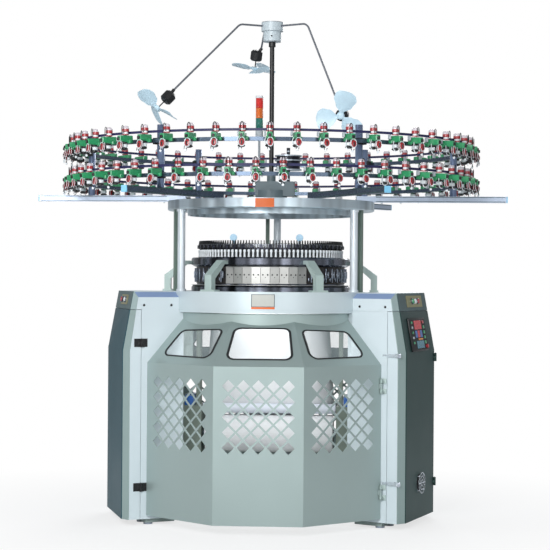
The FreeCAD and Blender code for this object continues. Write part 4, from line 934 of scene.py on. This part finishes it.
for name, piece, places, material, angle in (
        ("cam_bolts", joined(bolts), about_axis(angles), black, 40),
        ("cam_clips", joined(clips), about_axis(shaded_angles), bright_steel, 40),
        ("cam_joints", joint, GUIDES, black, 35)):
    settled(name, repeated(piece, places), "frame", material, None, angle)
settled("saddle_ring", hoop(0.512, 0.5445, 1.5855, 1.5885), "frame", plate_steel)

# %% [markdown]
# Above the plates the yarn guides stand like a comb round a steel rail, with white ceramic eyes
# under it. The CAD fingers are plainer than that, so only their rail is kept and the comb is
# modelled tooth by tooth, three to a feed.

# %% Yarn guides
THIRDS = about_axis([STEP * (i + 0.5) / 3 for i in range(3 * FEEDS)])
HALVES = about_axis([STEP * (i + 0.25) / 2 for i in range(2 * FEEDS)])
found = sorted(solids_of("yarn_guides"), key=lambda solid: length(solid, 0))
settled("guide_rail", found[-1], "frame", ring_steel, "yarn_guides")
for finger in found[:-1]:
    bpy.data.objects.remove(finger)
tooth = block((-0.0038, -0.502, 1.838), (0.0038, -0.484, 1.887))
for vertex in tooth.data.vertices:
    if vertex.co.z > 1.870:
        vertex.co.x *= 0.7
        vertex.co.y = -0.488 + (vertex.co.y + 0.488) * 0.4
clamp = block((-0.0105, -0.506, 1.834), (0.0105, -0.4965, 1.858), 0.002)
eye = moved(turned_form([(0.005, 1.773), (0.009, 1.777), (0.007, 1.786), (0.007, 1.806),
                         (0.010, 1.812), (0.008, 1.825)], 8), shift(0, -0.490, 0))
stalk = block((0.011, -0.490, 1.773), (0.019, -0.480, 1.842), 0.002)
# The dark hoop behind the eyes stands for the shade inside the head: painted shade.
for name, piece, material, angle in (
        ("guide_combs", repeated(tooth, THIRDS), black, 30),
        ("guide_clamps", repeated(clamp, GUIDES), dark_steel, 40),
        ("guide_band", hoop(0.472, 0.482, 1.824, 1.838), dark_steel, 35),
        ("guide_eyes", repeated(eye, HALVES), white_moulding, 50),
        ("guide_stalks", repeated(stalk, HALVES), black, 40),
        ("guide_painted_shade", hoop(0.462, 0.470, 1.7735, 1.836), dark_cast, 35)):
    settled(name, piece, "frame", material, "yarn_guides", angle)

# %% [markdown]
# ## Cloth
# The knitted tube leaves the needles inside the cylinder, hangs, and is drawn flat between two
# rollers, so its section goes from a circle to a thin ellipse and long folds form on the way. It
# is a cylinder whose rings are moved to that section, then given its thickness. Gravity and the
# rollers settle its shape completely, so no simulation is needed.

# %% Fabric tube
TUBE_R, FLAT_HALF, TUBE_HIGH, TUBE_LOW = 0.386, 0.446, 1.676, 0.7586
HANG = 1.421                    # the height under which the tube starts to flatten
NIP_HALF, CLOTH_THICK = 0.0055, 0.0014
FOLDS, FOLD_DEPTH = 9, 0.012    # long folds round the tube, and the ripples between them
RIPPLES, RIPPLE_DEPTH = 23, 0.004
bpy.ops.mesh.primitive_cylinder_add(vertices=128, radius=TUBE_R, depth=1, end_fill_type="NOTHING",
                                    location=(0, 0, 0))
tube = edited(placed(), ("subdivide_edgering", {"number_cuts": 44, "interpolation": "LINEAR"}))
for vertex in tube.data.vertices:
    around = math.atan2(vertex.co.y, vertex.co.x)
    height = TUBE_LOW + (TUBE_HIGH - TUBE_LOW) * (vertex.co.z + 0.5)
    part = min(1.0, max(0.0, (HANG - height) / (HANG - TUBE_LOW)))
    wide = TUBE_R + (FLAT_HALF - TUBE_R) * (1 - math.cos(math.pi * part)) / 2
    deep = TUBE_R + (NIP_HALF - TUBE_R) * part ** 1.15
    fold = FOLD_DEPTH * (0.5 + 0.5 * math.cos(FOLDS * around + 1.2 * part))
    fold += RIPPLE_DEPTH * math.sin(RIPPLES * around - 2 * part)
    fold *= math.sin(math.pi * part)
    vertex.co = ((wide - fold) * math.cos(around), (deep - fold * deep / TUBE_R) * math.sin(around),
                 height)
applied(tube, "SOLIDIFY", thickness=CLOTH_THICK, offset=-1)
settled("fabric_tube_cloth", tube, "cylinder", cloth_white, "fabric_tube", 80)

# %% [markdown]
# Under the rollers the cloth is wound up on a bar. The roll is one turned form: small steps in its
# ends show the edges of the layers, and its side swells and dips a little along its length.

# %% Cloth roll
ROLL_AXIS = shift(0, 0, 0.566) @ turn(90, "Y")
steps = [(0.017, -0.436)]
steps += [(0.017 + 0.0095 * i, -0.440 + (0.002 if i % 2 else -0.001)) for i in range(1, 12)]
side = [(0.1285, -0.438), (0.1298, -0.430), (0.1290, -0.2), (0.1299, 0.05), (0.1292, 0.25),
        (0.1298, 0.430), (0.1285, 0.438)]
roll = turned_form(steps + side + [(radius, -end) for radius, end in steps[::-1]], 64)
bar = turned_form([(0.014, -0.5), (0.016, -0.498), (0.016, 0.498), (0.014, 0.5)], 24)
for name, piece, material, angle in (("cloth_roll", roll, cloth_white, 50),
                                     ("roll_bar", bar, bright_steel, 35)):
    settled(name, moved(piece, ROLL_AXIS), "fabric_roll", material, "fabric_roll", angle)

# %% [markdown]
# Blue covers hide the gears at both ends of the rollers. The picture shows them through the gates,
# so a bevelled shell is set over each grey gear case.

# %% Gear covers of the take-down
gear_covers = [block((x - 0.0345, -0.1415, 0.7585), (x + 0.0345, 0.1415, 0.8315), 0.008, 2)
               for x in (-0.545, 0.545)]
settled("gear_covers", joined(gear_covers), "cylinder", deep_blue)

# %% [markdown]
# ## Overhead fans
# Each rotor has three broad, rounded blades with a slight twist. A blade is a grid whose rows are
# drawn out to the two edges of an outline, turned more the further out they are, and then given
# its thickness. The joints in the record say where each rotor sits and which way it faces.

# %% Rotors
JOINTS = {joint["name"]: joint for joint in frame["joints"]}
BLADE_OUTLINE = [(-0.13, -14, 14), (-0.38, -64, 50), (-0.66, -84, 72), (-0.86, -72, 68),
                 (-0.97, -38, 46)]      # share of the reach, then both edges in millimetres
FAN_REACH, BLADE_THICK, BLADE_BULGE = 0.1675, 0.0022, 0.006
BLADE_MIDDLE, BLADE_HALF = -0.555, 0.415        # as shares of the reach
TIP_TWIST, AXIS_TWIST = 14, 30                  # degrees, at the tip and at the rotor's axis


def axes_at(point, run, up, out, mirror=1):
    """A place with these three axes, or its twin on the machine's other side."""
    for axis in (run, up, out, point):
        axis.x *= mirror
    place = Matrix((run * mirror, up, out)).transposed().to_4x4()
    place.translation = point
    return place


def facing(joint):
    """The place of a turning piece whose own Z lies on the joint's axis."""
    axis = Vector(joint["axis"]).normalized()
    side = Vector((0, 0, 1)).cross(axis).normalized()
    return axes_at(Vector(joint["pos_m"]), side, axis.cross(side), axis)


def blade_edges(share):
    """The two edges of a blade at a share of its reach, between the rows of the outline."""
    for (s0, a0, b0), (s1, a1, b1) in zip(BLADE_OUTLINE, BLADE_OUTLINE[1:]):
        if share >= s1:
            t = (s0 - share) / (s0 - s1)
            t = t * t * (3 - 2 * t)
            return (a0 + (a1 - a0) * t) / 1000, (b0 + (b1 - b0) * t) / 1000
    return BLADE_OUTLINE[-1][1] / 1000, BLADE_OUTLINE[-1][2] / 1000


def blade():
    """One blade, reaching from the hub towards -Y."""
    bpy.ops.mesh.primitive_grid_add(x_subdivisions=8, y_subdivisions=14, size=2)
    piece = placed()
    for vertex in piece.data.vertices:
        x, share = vertex.co.x, BLADE_MIDDLE + BLADE_HALF * vertex.co.y
        near, far = blade_edges(share)
        wide = (near + far) / 2 + x * (far - near) / 2
        twist = math.radians(AXIS_TWIST + (AXIS_TWIST - TIP_TWIST) * share)
        bulge = 1 - x * x
        vertex.co = (wide * math.cos(twist), share * FAN_REACH * (1 + 0.03 * bulge),
                     wide * math.sin(twist) + BLADE_BULGE * bulge)
    return applied(piece, "SOLIDIFY", thickness=BLADE_THICK, offset=0)


for side, phase in (("right", 45), ("left", 60), ("back", 12)):
    blades = [moved(blade(), turn(angle)) for angle in (phase, phase + 120, phase + 240)]
    hub = turned_form([(0.020, -0.012), (0.026, -0.010), (0.026, 0.006), (0.020, 0.012),
                       (0.006, 0.014)], 24)
    rotor = moved(joined(blades + [hub]), facing(JOINTS[f"rotor_{side}_spin"]))
    settled("rotor_blades_" + side, rotor, "rotor_" + side, blade_blue,
            "rotor_" + side, 50)

# %% [markdown]
# The fans hang from a grey moulded head that turns on the pole. Its two steps and round edges are
# a turned profile, set just outside the CAD head so that the two never share a surface.

# %% Fan head
head = turned_form([(0.056, 3.2635), (0.0620, 3.268), (0.0624, 3.332), (0.072, 3.3340),
                    (0.0753, 3.338), (0.0753, 3.396), (0.071, 3.3998)], 48)
settled("fan_head_cap", head, "fan_head", head_grey)
screw = turned_form([(0.006, 0), (0.006, 0.003), (0.004, 0.004)], 10)
settled("fan_head_screw", moved(screw, shift(0, -0.0605, 3.300), OUTWARD), "fan_head",
        black)

# %% [markdown]
# ## Fittings on the panels
# The end panels lean and turn away from the front, so a small set of axes is built on each: one
# along the panel, one up it and one out of it. Fittings are drawn flat and set down on those axes.

# %% Panel axes
NOSE, TAIL = (0.9376, -0.5921), (1.1283, 0.0102)    # the panel's two lower corners, from above


def on_panel(along, height, mirror=1):
    """The axes of a place on the right end panel, or mirrored on the left one."""
    run = Vector((TAIL[0] - NOSE[0], TAIL[1] - NOSE[1], 0)).normalized()
    out = Vector((run.y, -run.x, 0))
    share = max(0.0, (height - LEAN_FROM) / (LEAN_TO - LEAN_FROM))
    point = Vector((*NOSE, height)) + run * along - out * (LEAN * share)
    if share > 0:
        out = Vector((out.x, out.y, LEAN / (LEAN_TO - LEAN_FROM))).normalized()
    return axes_at(point, run, out.cross(run), out, mirror)


# %% [markdown]
# The controller is a flat black case with a raised face. Its readouts, keys and lamps are thin
# plates with bevelled edges, so they catch light as separate parts; none of them carries a sign.

# %% Controller
SEAT = on_panel(0.285, 1.264)
FACE, GLASS, KEY = 0.016, 0.0175, 0.020         # heights above the door's sheet


def on_controller(name, piece, material, node=None):
    settled("controller_" + name, moved(piece, SEAT), "door_right", material, node)


on_controller("case", block((-0.180, -0.112, 0.0), (0.180, 0.112, 0.014), 0.005, 2), black,
              "controller")
on_controller("face", block((-0.165, -0.100, 0.012), (0.165, 0.100, FACE), 0.002), soft_black)
for name, left, bottom, right, top, material in (
        ("readout", -0.085, 0.034, 0.075, 0.094, screen_red),
        ("count_0", -0.085, -0.020, -0.037, 0.027, deep_blue),
        ("count_1", -0.030, -0.020, 0.018, 0.027, screen_red),
        ("count_2", 0.025, -0.020, 0.073, 0.027, deep_blue),
        ("amber", -0.030, -0.037, 0.072, -0.026, screen_amber),
        ("screen", -0.080, -0.092, 0.085, -0.042, screen_teal)):
    on_controller(name, block((left, bottom, FACE), (right, top, GLASS), 0.001), material)
for i in range(5):
    drop = 0.034 * i
    on_controller(f"key_{i}", block((0.100, 0.072 - drop, FACE), (0.134, 0.092 - drop, KEY), 0.002),
                  green if i else red)
    on_controller(f"lamp_{i}", block((-0.150, 0.074 - drop, FACE), (-0.122, 0.090 - drop, KEY),
                                     0.002), grey_moulding if i % 2 else green)
knob = turned_form([(0.013, FACE), (0.013, 0.028), (0.010, 0.031)], 20)
on_controller("knob", moved(knob, shift(0.128, -0.082, 0)), red)

# %% [markdown]
# The right door is taken apart into its sheet, its hinge knuckles and its latch brackets. Its fan
# blows through a round hole, which the solid model leaves out, so it is cut through the sheet here.

# %% Right door
VENT, VENT_HOLE = on_panel(0.300, 0.275), 0.062
found = solids_of("door_right")
sheet = next(solid for solid in found if not small(solid))
bpy.ops.mesh.primitive_cylinder_add(vertices=48, radius=VENT_HOLE, depth=0.03)
cutter = moved(placed(), VENT)
applied(sheet, "BOOLEAN", operation="DIFFERENCE", object=cutter, solver="EXACT")
bpy.data.objects.remove(cutter)
knuckles = [solid for solid in found if solid != sheet and low(solid, 0) > 1.0]
brackets = [solid for solid in found if solid != sheet and solid not in knuckles]
for name, parts, material in (("sheet", [sheet], panels), ("knuckles", knuckles, slate),
                              ("brackets", brackets, chrome)):
    settled("door_right_" + name, joined(parts), "door_right", material, "door_right")
# A black disc behind the vent hole is painted shade, darkening the hole as the leg's shadowed inside
# would.
painted_shade_disc = turned_form([(0.060, -0.031), (0.060, -0.028)], 32)
settled("vent_painted_shade", moved(painted_shade_disc, VENT), "door_right", black)

# %% [markdown]
# A worker reaches the buttons from the front of each leg. A button head is turned: straight sides,
# then a shallow dome. The signal lamps and the selector beside them share one rounder profile.

# %% Button plates and buttons
BUTTON_ROW = 1.486
HEAD = [(0.0165, 0.0073), (0.0168, 0.016), (0.0155, 0.0195), (0.011, 0.0203)]
LAMP_HEAD = [(0.017, 0.003), (0.017, 0.012), (0.013, 0.017), (0.006, 0.019)]
dress("button_plates", "frame",
      ("button_plate_sheets", "yellow", gold, lambda solid: length(solid, 1) > 0.15),
      ("button_collars", "yellow", bright_steel))
for name, form, along, mirror, material, slot in (
        ("button_start", HEAD, 0.276, 1, green, "green_btn"),
        ("button_stop", HEAD, 0.396, 1, red, "red_btn"),
        ("button_stop_left", HEAD, 0.330, -1, red, "red_btn"),
        ("signal_lamp_right", LAMP_HEAD, 0.336, 1, white_moulding, "yellow"),
        ("selector_left", LAMP_HEAD, 0.270, -1, black, "yellow"),
        ("signal_lamp_left", LAMP_HEAD, 0.210, -1, white_moulding, "yellow")):
    piece = moved(turned_form(form, 28), on_panel(along, BUTTON_ROW, mirror))
    if form is HEAD:
        settled(name + "_head", piece, name, material, name)
    else:
        settled(name, piece, "frame", material)

# %% [markdown]
# Two screws hold each cap of the front legs, and the left door hangs on flat hinge leaves. They lie
# on the side faces of the covers, 30 degrees off the front, so those faces get axes of their own.

# %% Cap screws and hinge leaves
SIDE_FACE = 0.118               # from the leg's middle plane to the cover's side face


def on_side(radius, height, mirror=1):
    """A place on the right cover's side face, or mirrored; its Z points out of the face."""
    run = Vector((math.sin(math.radians(60)), -math.cos(math.radians(60)), 0))
    side = Vector((math.sin(math.radians(150)), -math.cos(math.radians(150)), 0))
    point = run * radius - side * SIDE_FACE + Vector((0, 0, height))
    return axes_at(point, run, Vector((0, 0, 1)), -side, mirror)


for mirror, side in ((1, "right"), (-1, "left")):
    screws = [moved(turned_form([(0.008, 0), (0.008, 0.003), (0.0055, 0.005)], 12),
                    on_side(radius, 1.452, mirror)) for radius in (0.790, 0.985)]
    settled("cap_screws_" + side, joined(screws), "frame", black)
for half, body, near, far in (("door", "door_left", 1.0045, 1.053),
                              ("cover", "frame", 0.959, 1.0005)):
    wide = (far - near) / 2
    leaves = [moved(block((-wide, -0.0275, 0.0002), (wide, 0.0275, 0.0032), 0.001),
                    on_side((near + far) / 2, height, -1)) for height in (0.2525, 1.2035)]
    settled("hinge_leaves_" + half, joined(leaves), body, black)

# %% [markdown]
# Blank plates follow the curve of the bed and of the crown, so they are short pieces of a hoop.
# Under the bed a seal closes the joint with the covers.

# %% Plates and the bed's seal
for name, radii, heights, start, angle, material in (
        ("badge_plate", (0.7452, 0.7472), (1.448, 1.530), -5.6, 11.7, dark_cast),
        ("badge_field", (0.7470, 0.7478), (1.451, 1.527), -5.3, 11.1, badge_face),
        ("badge_strip", (0.7452, 0.7472), (1.434, 1.447), -5.6, 11.7, orange),
        ("crown_plate", (0.7112, 0.7132), (2.098, 2.156), -4.4, 10.0, orange)):
    settled(name, hoop(*radii, *heights, 12, start, angle), "frame", material, None, 20)
settled("bed_seal", hoop(0.733, 0.741, 1.406, 1.4285, 96), "frame", pale_sage, None, 20)
